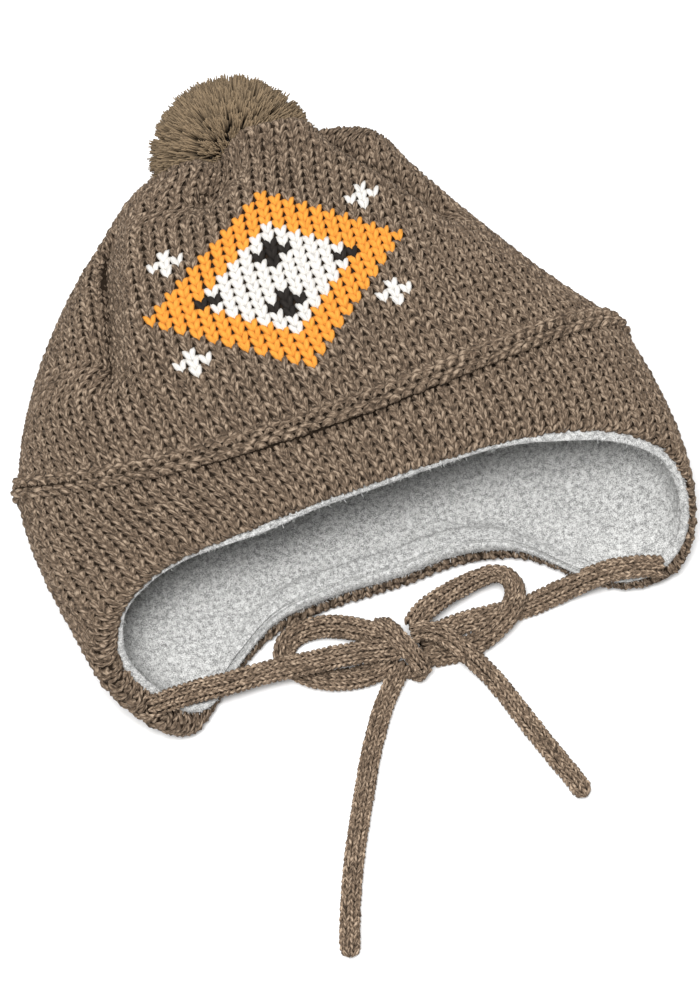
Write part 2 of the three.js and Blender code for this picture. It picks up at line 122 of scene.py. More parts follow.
# From the hat's own axes to the frame, whose origin is the middle of the footprint.
TO_FRAME = np.array([-0.0019751, -0.0520482, 0.0])

# Rings of the crown from the ridge to the gather, each a share of the named sizes.
RING_NAMES = (
    "at", "half", "mid", "front", "side", "back", "lean",
    "top", "waist", "bottom", "curve", "flat", "swell", "pull",
)
CROWN_RINGS = (
    (0.00, 1.000, 0.000, 0.106, 0.271, 0.203, 0.085, 1.000, 0.468, -0.081, 1.20, 0.80, 1, 0),
    (0.17, 0.882, -0.042, 0.305, 0.449, 0.373, 0.076, 1.081, 0.484, -0.081, 1.15, 0.80, 1, 0),
    (0.38, 0.731, -0.057, 0.542, 0.661, 0.576, 0.068, 1.145, 0.516, -0.081, 1.05, 0.80, 1, 0),
    (0.60, 0.557, -0.033, 0.780, 0.864, 0.763, 0.042, 1.161, 0.581, -0.065, 0.95, 0.80, 1, 0),
)
OUTER_TIP = (
    (0.80, 0.406, 0.009, 0.983, 1.000, 0.915, 0, 1.081, 0.677, 0.016, 0.90, 0.85, 0.7, 0.7),
    (0.90, 0.283, -0.009, 0.992, 0.958, 0.898, 0, 0.968, 0.645, 0.194, 1, 1, -0.7, 0.7),
    (1.00, 0.085, -0.028, 0.864, 0.864, 0.856, 0, 0.677, 0.565, 0.452, 1, 1, 0, 1),
)
INNER_TIP = (
    (0.80, 0.377, 0.000, 0.915, 0.924, 0.856, 0, 1.120, 0.660, 0.030, 0.95, 0.85, 1, 1),
    (1.00, 0.190, -0.020, 0.890, 0.890, 0.856, 0, 0.870, 0.610, 0.320, 1, 1, 1, 1),
)

# The opening's edge: turn in degrees, then shares across, along and up.
HEM_STATIONS = (
    (0, 0.028, -0.196, 0.919), (28, 0.472, -0.143, 0.895), (52, 0.783, -0.196, 0.806),
    (74, 0.962, -0.339, 0.645), (90, 1.019, -0.536, 0.468), (108, 1.000, -0.732, 0.226),
    (128, 0.887, -0.857, 0.097), (146, 0.708, -0.790, 0.070), (161, 0.495, -0.480, 0.065),
    (171, 0.302, -0.402, 0.065), (180, 0.094, -0.436, 0.065), (191, -0.123, -0.446, 0.065),
    (202, -0.340, -0.509, 0.065), (214, -0.505, -0.705, 0.070), (233, -0.655, -0.925, 0.097),
    (254, -0.785, -0.80, 0.274), (270, -0.849, -0.607, 0.468), (289, -0.792, -0.375, 0.661),
    (309, -0.623, -0.250, 0.790), (333, -0.340, -0.232, 0.879),
)

# Folds in the front of the crown: depth and width as shares of the rise, then points in plan.
FOLDS = (
    (0.129, 0.097, ((-0.47, 0.95), (-0.54, 0.83), (-0.575, 0.68), (-0.61, 0.525), (-0.64, 0.37))),
    (0.113, 0.097, ((0.21, 0.98), (0.34, 0.88), (0.47, 0.763), (0.585, 0.644))),
    (0.145, 0.097, ((-0.16, 1.1), (-0.104, 0.966), (-0.085, 0.915), (-0.17, 0.856), (-0.264, 0.83))),
    (-0.129, 0.129, ((-0.085, 1.034), (0.038, 1.017), (0.132, 0.983), (0.208, 0.94))),
)

# Creases that only the knit takes, pressed sharply at the bottom of a fold or rolled up beside it.
# The fleece passes below each crease in a wider, deeper hollow, and isn't rolled.
CREASES = (
    (0.075, 0.035, ((-0.48, 0.93), (-0.545, 0.83), (-0.58, 0.68), (-0.615, 0.525), (-0.645, 0.4))),
    (-0.055, 0.06, ((-0.41, 0.93), (-0.47, 0.81), (-0.50, 0.67), (-0.535, 0.52), (-0.56, 0.38))),
    (0.095, 0.035, ((0.2, 1.0), (0.34, 0.88), (0.47, 0.763), (0.57, 0.66))),
    (-0.045, 0.06, ((0.14, 0.96), (0.27, 0.85), (0.40, 0.735), (0.51, 0.62))),
    (0.03, 0.05, ((-0.16, 1.08), (-0.104, 0.966), (-0.09, 0.915), (-0.17, 0.862), (-0.27, 0.84))),
    (-0.035, 0.06, ((-0.06, 0.98), (-0.03, 0.9), (-0.11, 0.83), (-0.2, 0.79))),
)

# Layers of the band: inset at the ridge, then the edge and its control point, in metres.
LAYER_NAMES = ("inset", "rim_out", "rim_back", "near", "swell", "near_back", "roll")
KNIT_OUTSIDE = (0, 0, 0, 0.002, HEM_FULLNESS, -0.002, HEM_ROLL * 1.7)
LINING_OUTSIDE = (
    KNIT_WALL + LINING_EASE, -PIECE_GAP, 0, 0.0008, HEM_FULLNESS, 0.008, 0,
)
LINING_INSIDE = (
    KNIT_WALL + LINING_EASE + LINING_WALL, -PIECE_GAP - LINING_RIM, 0, -PIECE_GAP - LINING_RIM,
    HEM_FULLNESS, 0.009, 0,
)

# The ties' routes, in the hat's axes and in metres, as in the part's source.
TIE_ROUTES = {
    "tie_left": (
        (-0.0838, -0.0513, 0.0185), (-0.08, -0.051, 0.0171), (-0.076, -0.0498, 0.0151),
        (-0.071, -0.0488, 0.0132), (-0.065, -0.048, 0.0116), (-0.0582, -0.0479, 0.0104),
        (-0.052, -0.0476, 0.0099), (-0.045, -0.0474, 0.0095), (-0.037, -0.0477, 0.0096),
        (-0.0298, -0.0483, 0.0099), (-0.0237, -0.0487, 0.0102), (-0.017, -0.0492, 0.0104),
        (-0.0106, -0.0498, 0.01), (-0.0059, -0.0503, 0.0094), (-0.002, -0.0508, 0.0086),
        (0.002, -0.0512, 0.008),
    ),
    "loop_left": (
        (0.001, -0.047, 0.0084), (-0.0033, -0.0446, 0.008), (-0.0072, -0.0417, 0.007),
        (-0.0113, -0.039, 0.006), (-0.0154, -0.0368, 0.005), (-0.0197, -0.0352, 0.0042),
        (-0.0246, -0.0346, 0.0037), (-0.0293, -0.0352, 0.0033), (-0.033, -0.0372, 0.0031),
        (-0.0348, -0.0402, 0.003), (-0.0345, -0.044, 0.003), (-0.0319, -0.0481, 0.003),
        (-0.0274, -0.0516, 0.003), (-0.02, -0.0544, 0.003), (-0.013, -0.0555, 0.0032),
        (-0.0065, -0.055, 0.0042), (-0.002, -0.0532, 0.0056),
    ),
    "tail_left": (
        (0.002, -0.0555, 0.0046), (-0.0022, -0.06, 0.0037), (-0.0051, -0.0634, 0.0032),
        (-0.0081, -0.0672, 0.003), (-0.0115, -0.0725, 0.003), (-0.0157, -0.0796, 0.003),
        (-0.0198, -0.0875, 0.003), (-0.0235, -0.0953, 0.003), (-0.0272, -0.1031, 0.003),
        (-0.0308, -0.1109, 0.003), (-0.0341, -0.1187, 0.003), (-0.0371, -0.1265, 0.003),
        (-0.0398, -0.1344, 0.003), (-0.0419, -0.1413, 0.003), (-0.0429, -0.1458, 0.003),
    ),
    "tail_right": (
        (0.0075, -0.0484, 0.0102), (0.0114, -0.0486, 0.0106), (0.0144, -0.0499, 0.0106),
        (0.0172, -0.0519, 0.0103), (0.0194, -0.0546, 0.0097), (0.0215, -0.0574, 0.0089),
        (0.024, -0.0606, 0.0072), (0.0267, -0.0643, 0.005), (0.0289, -0.068, 0.0036),
        (0.031, -0.0728, 0.003), (0.033, -0.0785, 0.003), (0.0351, -0.0847, 0.003),
        (0.0374, -0.0912, 0.003), (0.0399, -0.098, 0.003), (0.0423, -0.1045, 0.003),
        (0.0445, -0.1104, 0.003), (0.0461, -0.1159, 0.003),
    ),
    "loop_right": (
        (0.0085, -0.045, 0.0084), (0.0124, -0.0418, 0.0086), (0.0156, -0.04, 0.0087),
        (0.0199, -0.0382, 0.0083), (0.0248, -0.0364, 0.0074), (0.0304, -0.0349, 0.0064),
        (0.0357, -0.034, 0.0064), (0.0405, -0.0344, 0.0074), (0.0439, -0.0372, 0.0088),
        (0.045, -0.0416, 0.0098), (0.0436, -0.0462, 0.0098), (0.0402, -0.05, 0.009),
        (0.0354, -0.0528, 0.0072), (0.0306, -0.0546, 0.0049), (0.0254, -0.0555, 0.0033),
        (0.02, -0.0558, 0.003), (0.0146, -0.0554, 0.003), (0.0095, -0.054, 0.0034),
    ),
    "tie_right": (
        (0.094, -0.0497, 0.0118), (0.089, -0.0481, 0.0123), (0.083, -0.0468, 0.0123),
        (0.077, -0.046, 0.0116), (0.0715, -0.0457, 0.0098), (0.0657, -0.0454, 0.0063),
        (0.0599, -0.0457, 0.0042), (0.0547, -0.0463, 0.0033), (0.0499, -0.0469, 0.003),
        (0.0448, -0.0472, 0.003), (0.0399, -0.0472, 0.003), (0.035, -0.0469, 0.003),
        (0.0295, -0.0468, 0.003), (0.0238, -0.0469, 0.0031), (0.0187, -0.0476, 0.0035),
        (0.014, -0.0486, 0.0042), (0.0095, -0.0496, 0.005),
    ),
}
# The strand that wraps the bow, from above the loops down over them.
KNOT_WRAP = (
    (0.0032, -0.0442, 0.0024), (0.0006, -0.0424, 0.0038), (-0.0014, -0.0412, 0.0066),
    (-0.0010, -0.0428, 0.0100), (0.0006, -0.0464, 0.0118), (0.0028, -0.0510, 0.0122),
    (0.0050, -0.0554, 0.0114), (0.0068, -0.0588, 0.0090), (0.0074, -0.0602, 0.0058),
    (0.0060, -0.0592, 0.0034), (0.0038, -0.0570, 0.0024),
)

# The charted motif, one letter a stitch, from its top row: o orange, w off-white, k near-black.
# It is knitted down to its middle row and then back up the chart.
MOTIF_TOP = (
    "..........o..........",
    ".........ooo.........",
    "........ooooo........",
    "..w....ooooooo....w..",
    ".www..oooowoooo..www.",
    "..w..oooowwwoooo..w..",
    "....oooowwkwwoooo....",
    "...oooowwkkkwwoooo...",
    "..oooowwwwkwwwwoooo..",
    ".oooowwwwwwwwwwwoooo.",
    "ooookkwwwwwwwwwkkoooo",
)
MOTIF_CHART = MOTIF_TOP + MOTIF_TOP[-2::-1]
MOTIF_FIRST_ROW = 6

# One leg of a knit stitch: across in stitches, up in rows, height in stitch heights, width share.
LEG_PATH = (
    (0.04, -0.50, -0.38, 0.58), (0.10, -0.03, 0.02, 0.95), (0.22, 0.42, 0.17, 1.00),
    (0.345, 0.84, 0.02, 0.97), (0.40, 1.20, -0.42, 0.6),
)
# The same leg in the ties' finer knit, with one point fewer.
TAPE_LEG_PATH = (
    (0.05, -0.45, -0.34, 0.62), (0.15, 0.16, 0.12, 1.00), (0.30, 0.70, 0.10, 1.00),
    (0.41, 1.20, -0.40, 0.60),
)
# One purl bump: a short arch that lies across the column.
PURL_PATH = (
    (-0.46, -0.30, -0.50, 0.60), (-0.26, 0.04, 0.10, 0.95), (0.0, 0.16, 0.30, 1.00),
    (0.26, 0.04, 0.10, 0.95), (0.46, -0.30, -0.50, 0.60),
)


def linear(code):
    """Linear red, green and blue of an sRGB hex colour."""
    shares = [int(code[i:i + 2], 16) / 255 for i in (1, 3, 5)]
    return tuple(s / 12.92 if s <= 0.04045 else ((s + 0.055) / 1.055) ** 2.4 for s in shares)


def size_property(name, description, default, low, high):
    """A size in metres that a user may change."""
    return bpy.props.FloatProperty(
        name=name, description=description, default=default, unit="LENGTH", min=low, max=high)


def colour_property(name, description, code):
    """A colour that a user may change, from its sRGB hex value."""
    return bpy.props.FloatVectorProperty(
        name=name, description=description, subtype="COLOR", min=0, max=1, default=linear(code))


class HatSizes(bpy.types.PropertyGroup):
    """Sizes of the hat's stitches, of its ties and of its two piles"""
    stitch_wide: size_property(
        "Stitch width", "Width of one column of the hat's knit", 0.00442, 0.002, 0.01)
    stitch_tall: size_property(
        "Row height", "Height of one row of the hat's knit", 0.00308, 0.001, 0.01)
    yarn_wide: size_property(
        "Yarn width", "Width of the yarn in one leg of a stitch", 0.00208, 0.0005, 0.004)
    tape_wide: size_property("Tie width", "Width of the flat knitted ties", 0.0076, 0.004, 0.012)
    tape_thick: size_property(
        "Tie thickness", "Thickness of the flat knitted ties", 0.0048, 0.002, 0.008)
    tape_stitch: size_property(
        "Tie stitch width", "Width of one column of the ties' fine knit", 0.0026, 0.001, 0.005)
    tape_row: size_property(
        "Tie row height", "Height of one row of the ties' fine knit", 0.0018, 0.001, 0.004)
    fur_length: size_property(
        "Pompom pile", "Free length of the pompom's cut yarn ends", 0.0095, 0.003, 0.02)
    fleece_pile: size_property("Fleece pile", "Height of the lining's brushed pile", 0.0009, 0.0, 0.003)


class HatColours(bpy.types.PropertyGroup):
    """Colours of the hat's yarns, its fleece and the backdrop"""
    yarn_dark: colour_property("Yarn dark ply", "Darkest ply of the marl yarn", "#332a22")
    yarn_mid: colour_property("Yarn middle ply", "Main ply of the marl yarn", "#685849")
    yarn_light: colour_property("Yarn light ply", "Lightest ply of the marl yarn", "#a6937f")
    orange: colour_property("Motif orange", "Main colour of the charted motif", "#e0963c")
    white: colour_property("Motif white", "Light colour of the charted motif", "#d9d6d1")
    black: colour_property("Motif black", "Dark colour of the charted motif", "#26221f")
    fleece_dark: colour_property("Fleece dark fibre", "Dark fibres of the lining's melange", "#7c7c7b")
    fleece_light: colour_property(
        "Fleece light fibre", "Light fibres of the lining's melange", "#d8d8d6")
    # Painted shade: the dark colour deep between the pompom's strands, on their roots and on its heart.
    pom_root_shade: colour_property("Pompom root shade", "Painted shade deep between the pompom's strands", "#241d16")
    pom_tip: colour_property("Pompom tip", "Colour of the pompom's cut ends", "#7a6953")
    floor: colour_property("Backdrop", "Colour of the studio floor", "#f4f4f4")


def hermite(points, keys, share):
    """A blend of four neighbours at their keys, between the second and the third."""
    a, b, c, d = points
    span = (keys[2] - keys[1])[..., None]
    start = (c - a) * span / (keys[2] - keys[0])[..., None]
    end = (d - b) * span / (keys[3] - keys[1])[..., None]
    s = share[..., None]
    return (
        b * (2 * s**3 - 3 * s**2 + 1) + start * (s**3 - 2 * s**2 + s)
        + c * (3 * s**2 - 2 * s**3) + end * (s**3 - s**2)
    )


def smooth_step(value, low, high):
    """Rises softly from 0 at the low value to 1 at the high one."""
    share = np.clip((value - low) / (high - low), 0, 1)
    return share * share * (3 - 2 * share)


def ring_point(table, turn, inset):
    """Points of crown rings, each drawn in by the inset."""
    ring = dict(zip(RING_NAMES, np.moveaxis(table, -1, 0)))
    s = np.sin(turn)
    c = np.cos(turn)
    front = c > 0
    draw_in = inset * ring["swell"]
    waist = ring["waist"] * FRONT_RISE
    top = ring["top"] * FRONT_RISE - draw_in
    bottom = ring["bottom"] * FRONT_RISE + draw_in
    lie = np.where(front, ring["front"], ring["back"])
    along = lie * c * c + ring["side"] * s * s + np.where(front, ring["lean"] * s * c, 0)
    up = waist + (top - waist) * np.maximum(c, 0) ** ring["curve"]
    down = waist - (waist - bottom) * np.maximum(-c, 0) ** ring["flat"]
    return np.stack([
        ring["mid"] * HALF + (ring["half"] * HALF - draw_in) * s,
        along * CROWN_REACH - inset * ring["pull"],
        np.where(front, up, down),
    ], axis=-1)


def fold_depth(x, y, frontness, fleece=False):
    """How far the folds press the front of the crown down at a place."""
    total = np.zeros(np.shape(x))
    if fleece:
        creases = tuple((depth * 1.5, width * 2.2, points) for depth, width, points in CREASES if depth > 0)
    else:
        creases = CREASES
    for depth, width, points in FOLDS + creases:
        nearest = np.full(np.shape(x), 1e9)
        along = np.zeros(np.shape(x))
        runs = len(points) - 1
        for i in range(runs):
            start = np.array([points[i][0] * HALF, points[i][1] * CROWN_REACH])
            end = np.array([points[i + 1][0] * HALF, points[i + 1][1] * CROWN_REACH])
            step = end - start
            share = ((x - start[0]) * step[0] + (y - start[1]) * step[1]) / (step @ step)
            share = np.clip(share, 0, 1)
            away = np.hypot(x - start[0] - share * step[0], y - start[1] - share * step[1])
            along = np.where(away < nearest, (i + share) / runs, along)
            nearest = np.minimum(away, nearest)
        fade = np.minimum(1, np.minimum(along, 1 - along) * 4 + 0.35)
        total += depth * fade * np.exp(-((nearest / (width * FRONT_RISE)) ** 2))
    return total * FRONT_RISE * np.minimum(1, frontness * 2.5)


def crown_point(tip, reach, turn, inset):
    """Points of the crown: reach 0 is the ridge, 1 the last ring."""
    reach, turn = np.broadcast_arrays(np.asarray(reach, float), np.asarray(turn, float))
    table = np.array(CROWN_RINGS + tip, float)
    at = table[:, 0]
    last = len(at) - 1
    i = np.clip(np.searchsorted(at, reach, side="left") - 1, 0, last - 1)
    four = [np.maximum(i - 1, 0), i, i + 1, np.minimum(i + 2, last)]
    keys = [at[k] for k in four]
    share = (reach - keys[1]) / (keys[2] - keys[1])
    point = hermite([ring_point(table[k], turn, inset) for k in four], keys, share)
    skin_point = hermite([ring_point(table[k], turn, 0) for k in four], keys, share)
    fleece = inset > KNIT_WALL
    fold = fold_depth(skin_point[..., 0], skin_point[..., 1], np.maximum(0, np.cos(turn)), fleece)
    slack = FOLD_SLACK * np.abs(fold) if fleece else 0
    point[..., 2] = np.maximum(point[..., 2] - fold - slack, inset)
    return point


def hem_point(turn):
    """Points of the opening's edge."""
    table = np.array(HEM_STATIONS, float)
    count = len(table)
    degrees = np.degrees(turn) % 360
    i = np.clip(np.searchsorted(table[:, 0], degrees, side="right") - 1, 0, count - 1)
    four = [i - 1, i, i + 1, i + 2]
    keys = [table[k % count, 0] + 360 * np.floor_divide(k, count) for k in four]
    size = np.array([HALF, FLAP_REACH, FRONT_RISE])
    points = [table[k % count, 1:] * size for k in four]
    return hermite(points, keys, (degrees - keys[1]) / (keys[2] - keys[1]))


def outward(turn):
    """The way out of the hat's side at a turn."""
    way = np.stack([np.sin(turn), np.zeros(np.shape(turn)), 0.6 * np.cos(turn)], axis=-1)
    return way / np.linalg.norm(way, axis=-1, keepdims=True)


def turns_round(count):
    """Evenly spaced turns right round the hat."""
    return np.radians(np.linspace(-180, 180, count, endpoint=False))


def toned(colour, share, lift=0.0):
    """A colour made darker or lighter, as a tuple."""
    return tuple(min(1, v * share + lift) for v in colour)


def ridge_line(turn, inset):
    """Points of the line where crown and band meet."""
    table = np.broadcast_to(np.array(CROWN_RINGS[0], float), np.shape(turn) + (len(RING_NAMES),))
    return ring_point(table, turn, inset)


def band_point(layer, share, turn):
    """Points of the band: share 0 is the ridge, 1 the layer's edge at the opening."""
    share, turn = np.broadcast_arrays(np.asarray(share, float), np.asarray(turn, float))
    lay = dict(zip(LAYER_NAMES, layer))
    sideness = np.sin(turn)[..., None] ** 2
    rollness = np.where(np.cos(turn)[..., None] < 0, 1, sideness)
    out = outward(turn)
    along = np.array([0, 1, 0])
    ridge = ridge_line(turn, lay["inset"])
    hem = hem_point(turn)
    run = np.linalg.norm(hem - ridge_line(turn, 0), axis=-1, keepdims=True)
    first = ridge + out * (0.001 + 0.003 * sideness) - along * run * 0.4
    swell = lay["swell"] * sideness * np.where(np.sin(turn)[..., None] < 0, 1, 0.3)
    second = hem + out * (lay["near"] + swell)
    second = second + along * (lay["near_back"] - lay["roll"] * rollness)
    edge = hem + out * lay["rim_out"] + along * lay["rim_back"]
    s = share[..., None]
    point = (
        ridge * (1 - s) ** 3 + first * 3 * s * (1 - s) ** 2
        + second * 3 * s**2 * (1 - s) + edge * s**3
    )
    point[..., 2] = np.maximum(point[..., 2], lay["inset"])
    return point


def run_length(points, axis):
    """Length along a run of points, from its first."""
    steps = np.linalg.norm(np.diff(points, axis=axis), axis=-1)
    pad = [(0, 0)] * steps.ndim
    pad[axis] = (1, 0)
    return np.cumsum(np.pad(steps, pad), axis=axis)


class Cloth:
    """A knitted surface: points on an even grid of columns and rows, which gives any place on it."""

    def __init__(self, cols, rows, points):
        self.cols = cols
        self.rows = rows
        self.points = points
        across = np.gradient(points, axis=0)
        up = np.gradient(points, axis=1)
        normals = np.cross(across, up)
        size = np.linalg.norm(normals, axis=-1, keepdims=True)
        self.normals = normals / np.maximum(size, 1e-12)

    def place(self, col, row, height):
        """The point at a column, a row and a height off the cloth."""
        u = (col - self.cols[0]) / (self.cols[1] - self.cols[0])
        v = (row - self.rows[0]) / (self.rows[1] - self.rows[0])
        u = np.clip(u, 0, len(self.cols) - 1.001)
        v = np.clip(v, 0, len(self.rows) - 1.001)
        i = u.astype(int)
        j = v.astype(int)
        fu = (u - i)[..., None]
        fv = (v - j)[..., None]
        spots = []
        for grid in (self.points, self.normals):
            low = grid[i, j] * (1 - fu) + grid[i + 1, j] * fu
            high = grid[i, j + 1] * (1 - fu) + grid[i + 1, j + 1] * fu
            spots.append(low * (1 - fv) + high * fv)
        point = spots[0] + spots[1] * np.asarray(height)[..., None]
        point[..., 2] = np.maximum(point[..., 2], STITCH_OFF_TABLE)
        return point


def half_ring(mid_turn, reach, inset, spread=112):
    """Turns either side of the front's or back's middle, and the length along the ring to each."""
    offs = np.radians(np.linspace(-spread, spread, 2 * spread + 1))
    points = crown_point(OUTER_TIP, reach[:, None], mid_turn + offs[None, :], inset)
    length = run_length(points, 1)
    middle = len(offs) // 2
    length = length - length[:, middle:middle + 1]
    return offs, length


def column_counts(stitch_wide):
    """Columns across the front's and the back's half of the ridge, and their true widths."""
    counts = []
    for mid_turn in (0, math.pi):
        length = half_ring(mid_turn, np.array([0.0]), 0, 90)[1]
        whole = length[0, -1] - length[0, 0]
        count = int(round(whole / stitch_wide))
        counts.append((count, whole / count))
    return counts


def crown_cloth(mid_turn, wide, tall, inset):
    """The crown's front or back, its columns side by side and parallel, and which places are on it."""
    reaches = np.linspace(0, 1, 121)
    offs, length = half_ring(mid_turn, reaches, inset)
    to_right = length[:, 202]
    to_left = -length[:, 22]
    most = int(np.ceil(max(to_right.max(), to_left.max()) / wide)) + 1
    cols = np.arange(-2 * most, 2 * most + 1) / 2
    turns = np.array([np.interp(cols * wide, length[i], offs) for i in range(len(reaches))])
    lines = crown_point(OUTER_TIP, reaches[:, None], mid_turn + turns, inset)
    climb = run_length(lines, 0)
    rows = np.arange(0, 2 * int(climb[:, len(cols) // 2].max() / tall) + 5) / 2
    spot_reach = np.array([np.interp(rows * tall, climb[:, k], reaches) for k in range(len(cols))])
    spot_turn = np.array([np.interp(spot_reach[k], reaches, turns[:, k]) for k in range(len(cols))])
    points = crown_point(OUTER_TIP, spot_reach, mid_turn + spot_turn, inset)
    across = cols[:, None] * wide
    inside = (across <= np.interp(spot_reach, reaches, to_right) + 0.65 * wide)
    inside &= (-across <= np.interp(spot_reach, reaches, to_left) + 0.65 * wide) & (spot_reach < 0.985)
    return Cloth(cols, rows, points), inside


def ring_turns(counts, per_column):
    """Column numbers right round the hat from the middle of the front, and the turn of each."""
    (front, front_wide), (back, back_wide) = counts
    offs, length = half_ring(0, np.array([0.0]), 0)
    back_offs, back_length = half_ring(math.pi, np.array([0.0]), 0)
    cols = np.arange(-front * per_column / 2 - 4 * per_column,
                     (front / 2 + back + 4) * per_column + 1) / per_column
    on_front = np.interp(cols * front_wide, length[0], offs)
    from_back = (cols - front / 2 - back / 2) * back_wide
    on_back = math.pi + np.interp(from_back, back_length[0], back_offs)
    return cols, np.where(cols <= front / 2, on_front, on_back)


def rolled_lines(turns, inset):
    """Lines down the band from the ridge, which roll in at the opening round to the hem's edge."""
    sideness = np.sin(turns)[:, None] ** 2
    backness = smooth_step(-np.cos(turns)[:, None], 0, 0.5)
    out = outward(turns)
    down = np.array([0, -1.0, 0])
    leftness = np.where(np.sin(turns)[:, None] < 0, sideness, 0)
    hem = hem_point(turns) - out * 0.0006
    ridge = ridge_line(turns, inset)
    run = np.linalg.norm(hem - ridge, axis=-1, keepdims=True)
    right_front = (sideness - leftness) * smooth_step(np.cos(turns)[:, None], -0.2, 0.3)
    roll_out = 0.0019 - 0.0005 * sideness + 0.0034 * leftness + 0.0008 * right_front - inset * 0.7
    roll_down = (
        0.0016 + 0.0020 * backness * (1 - sideness) + (0.0004 + 0.0024 * backness) * sideness
        + 0.0034 * leftness - inset * 0.7
    )
    heart = hem - out * roll_out * math.cos(ROLL_TURN) - down * roll_down * math.sin(ROLL_TURN)
    shoulder = heart + out * roll_out
    first = ridge + out * (0.001 + 0.003 * sideness) + down * run * 0.35
    second = shoulder - down * run * 0.25 + out * (0.003 * leftness + 0.004 * right_front)
    s = np.linspace(0, 1, 60)[None, :, None]
    fall = (
        ridge[:, None] * (1 - s) ** 3 + first[:, None] * 3 * s * (1 - s) ** 2
        + second[:, None] * 3 * s**2 * (1 - s) + shoulder[:, None] * s**3
    )
    arc = np.linspace(0, ROLL_TURN, 41)[None, 1:, None]
    roll = heart[:, None] + out[:, None] * roll_out[:, None] * np.cos(arc)
    roll = roll + down * roll_down[:, None] * np.sin(arc)
    lines = np.concatenate([fall, roll], axis=1)
    lines[..., 2] = np.maximum(lines[..., 2], inset)
    return lines


def band_cloth(counts, tall, inset):
    """The band below the ridge, row 0 at the ridge and rows counted down, and its depth per column."""
    cols, turns = ring_turns(counts, 6)
    lines = rolled_lines(turns, inset)
    drop = run_length(lines, 1)
    deepest = drop[:, -1]
    rows = np.arange(-2 * int(deepest.max() / tall) - 4, 1) / 2
    points = np.stack([
        np.stack([np.interp(-rows * tall, drop[k], lines[k, :, axis]) for axis in range(3)], axis=-1)
        for k in range(len(cols))
    ])
    return Cloth(cols, rows, points), cols, deepest


def ridge_point(turn, length, proud):
    """A place on the ridge: length is measured up from its middle line."""
    step = (CROWN_RINGS[1][3] - CROWN_RINGS[0][3]) * CROWN_REACH
    above = crown_point(OUTER_TIP, np.maximum(length, 0) * CROWN_RINGS[1][0] / step, turn, 0)
    run = np.linalg.norm(hem_point(turn) - ridge_line(turn, 0), axis=-1)
    below = band_point(KNIT_OUTSIDE, np.maximum(-length, 0) / (1.2 * run), turn)
    point = np.where((length > 0)[..., None], above, below)
    point = point + outward(turn) * proud[..., None]
    point[..., 2] = np.maximum(point[..., 2], 0.0008)
    return point


def ridge_cloth(counts, tall, lowered):
    """The raised purl welt, proudest at its lower edge."""
    cols, turns = ring_turns(counts, 2)
    rows = np.arange(-8, 9) / 4
    turn, length = np.meshgrid(turns, rows * tall, indexing="ij")
    place = length / (RIDGE_TALL / 2)
    proud = np.interp(place, [-1.3, -0.95, -0.1, 0.6, 1.05], [0.0002, 0.0036, 0.0043, 0.0028, 0.0002])
    proud = proud * (1 - RIDGE_SIDE_FLATTENING * np.sin(turn) ** 2)
    return Cloth(cols, rows, ridge_point(turn, length, proud - lowered))


def leg_template(path, sides, wide, tall, yarn_wide, yarn_thick, mirrored):
    """One tube of yarn along a path of columns, rows and heights, closed at both ends."""
    spine = np.array(path, float)
    if mirrored:
        spine[:, 0] *= -1
    flat = spine[:, :2] * np.array([wide, tall])
    way = np.gradient(flat, axis=0)
    way /= np.linalg.norm(way, axis=-1, keepdims=True)
    angle = np.arange(sides) * 2 * math.pi / sides
    side = np.cos(angle)[None, :] * spine[:, 3:4] * yarn_wide / 2
    lift = np.sin(angle)[None, :] * spine[:, 3:4] * yarn_thick / 2
    col = spine[:, 0:1] + side * way[:, 1:2] / wide
    row = spine[:, 1:2] - side * way[:, 0:1] / tall
    height = spine[:, 2:3] * tall + lift
    verts = np.stack([col, row, height], axis=-1).reshape(-1, 3)
    along = run_length(np.column_stack([flat, spine[:, 2] * tall]), 0)
    faces = []
    uvs = []
    for k in range(len(spine) - 1):
        for m in range(sides):
            n = (m + 1) % sides
            faces.append((k * sides + m, (k + 1) * sides + m, (k + 1) * sides + n, k * sides + n))
            low, high = along[k] / MM, along[k + 1] / MM
            uvs.append(((m / sides, low), (m / sides, high),
                        ((m + 1) / sides, high), ((m + 1) / sides, low)))
    top = (len(spine) - 1) * sides
    for a in range(0, sides - 2, 2):
        faces.append((0, a + 1, a + 2, (a + 3) % sides))
        faces.append((top + (a + 3) % sides, top + a + 2, top + a + 1, top))
        uvs.extend([((0, 0), (0.1, 0), (0.2, 0), (0.3, 0))] * 2)
    return verts, np.array(faces), np.array(uvs, float)


def mesh_object(name, points, faces, uvs=None):
    """A mesh object in the frame from points in the hat's axes."""
    mesh = bpy.data.meshes.new(name)
    points = np.asarray(points, np.float32).reshape(-1, 3) + TO_FRAME.astype(np.float32)
    faces = np.asarray(faces, np.int32)
    mesh.vertices.add(len(points))
    mesh.vertices.foreach_set("co", points.ravel())
    mesh.loops.add(faces.size)
    mesh.loops.foreach_set("vertex_index", faces.ravel())
    mesh.polygons.add(len(faces))
    mesh.polygons.foreach_set("loop_start", np.arange(len(faces), dtype=np.int32) * faces.shape[1])
    mesh.polygons.foreach_set("use_smooth", np.full(len(faces), True))
    if uvs is not None:
        layer = mesh.uv_layers.new(name="Yarn")
        layer.data.foreach_set("uv", np.asarray(uvs, np.float32).ravel())
    mesh.update(calc_edges=True)
    mesh.validate()
    obj = bpy.data.objects.new(name, mesh)
    bpy.context.scene.collection.objects.link(obj)
    return obj


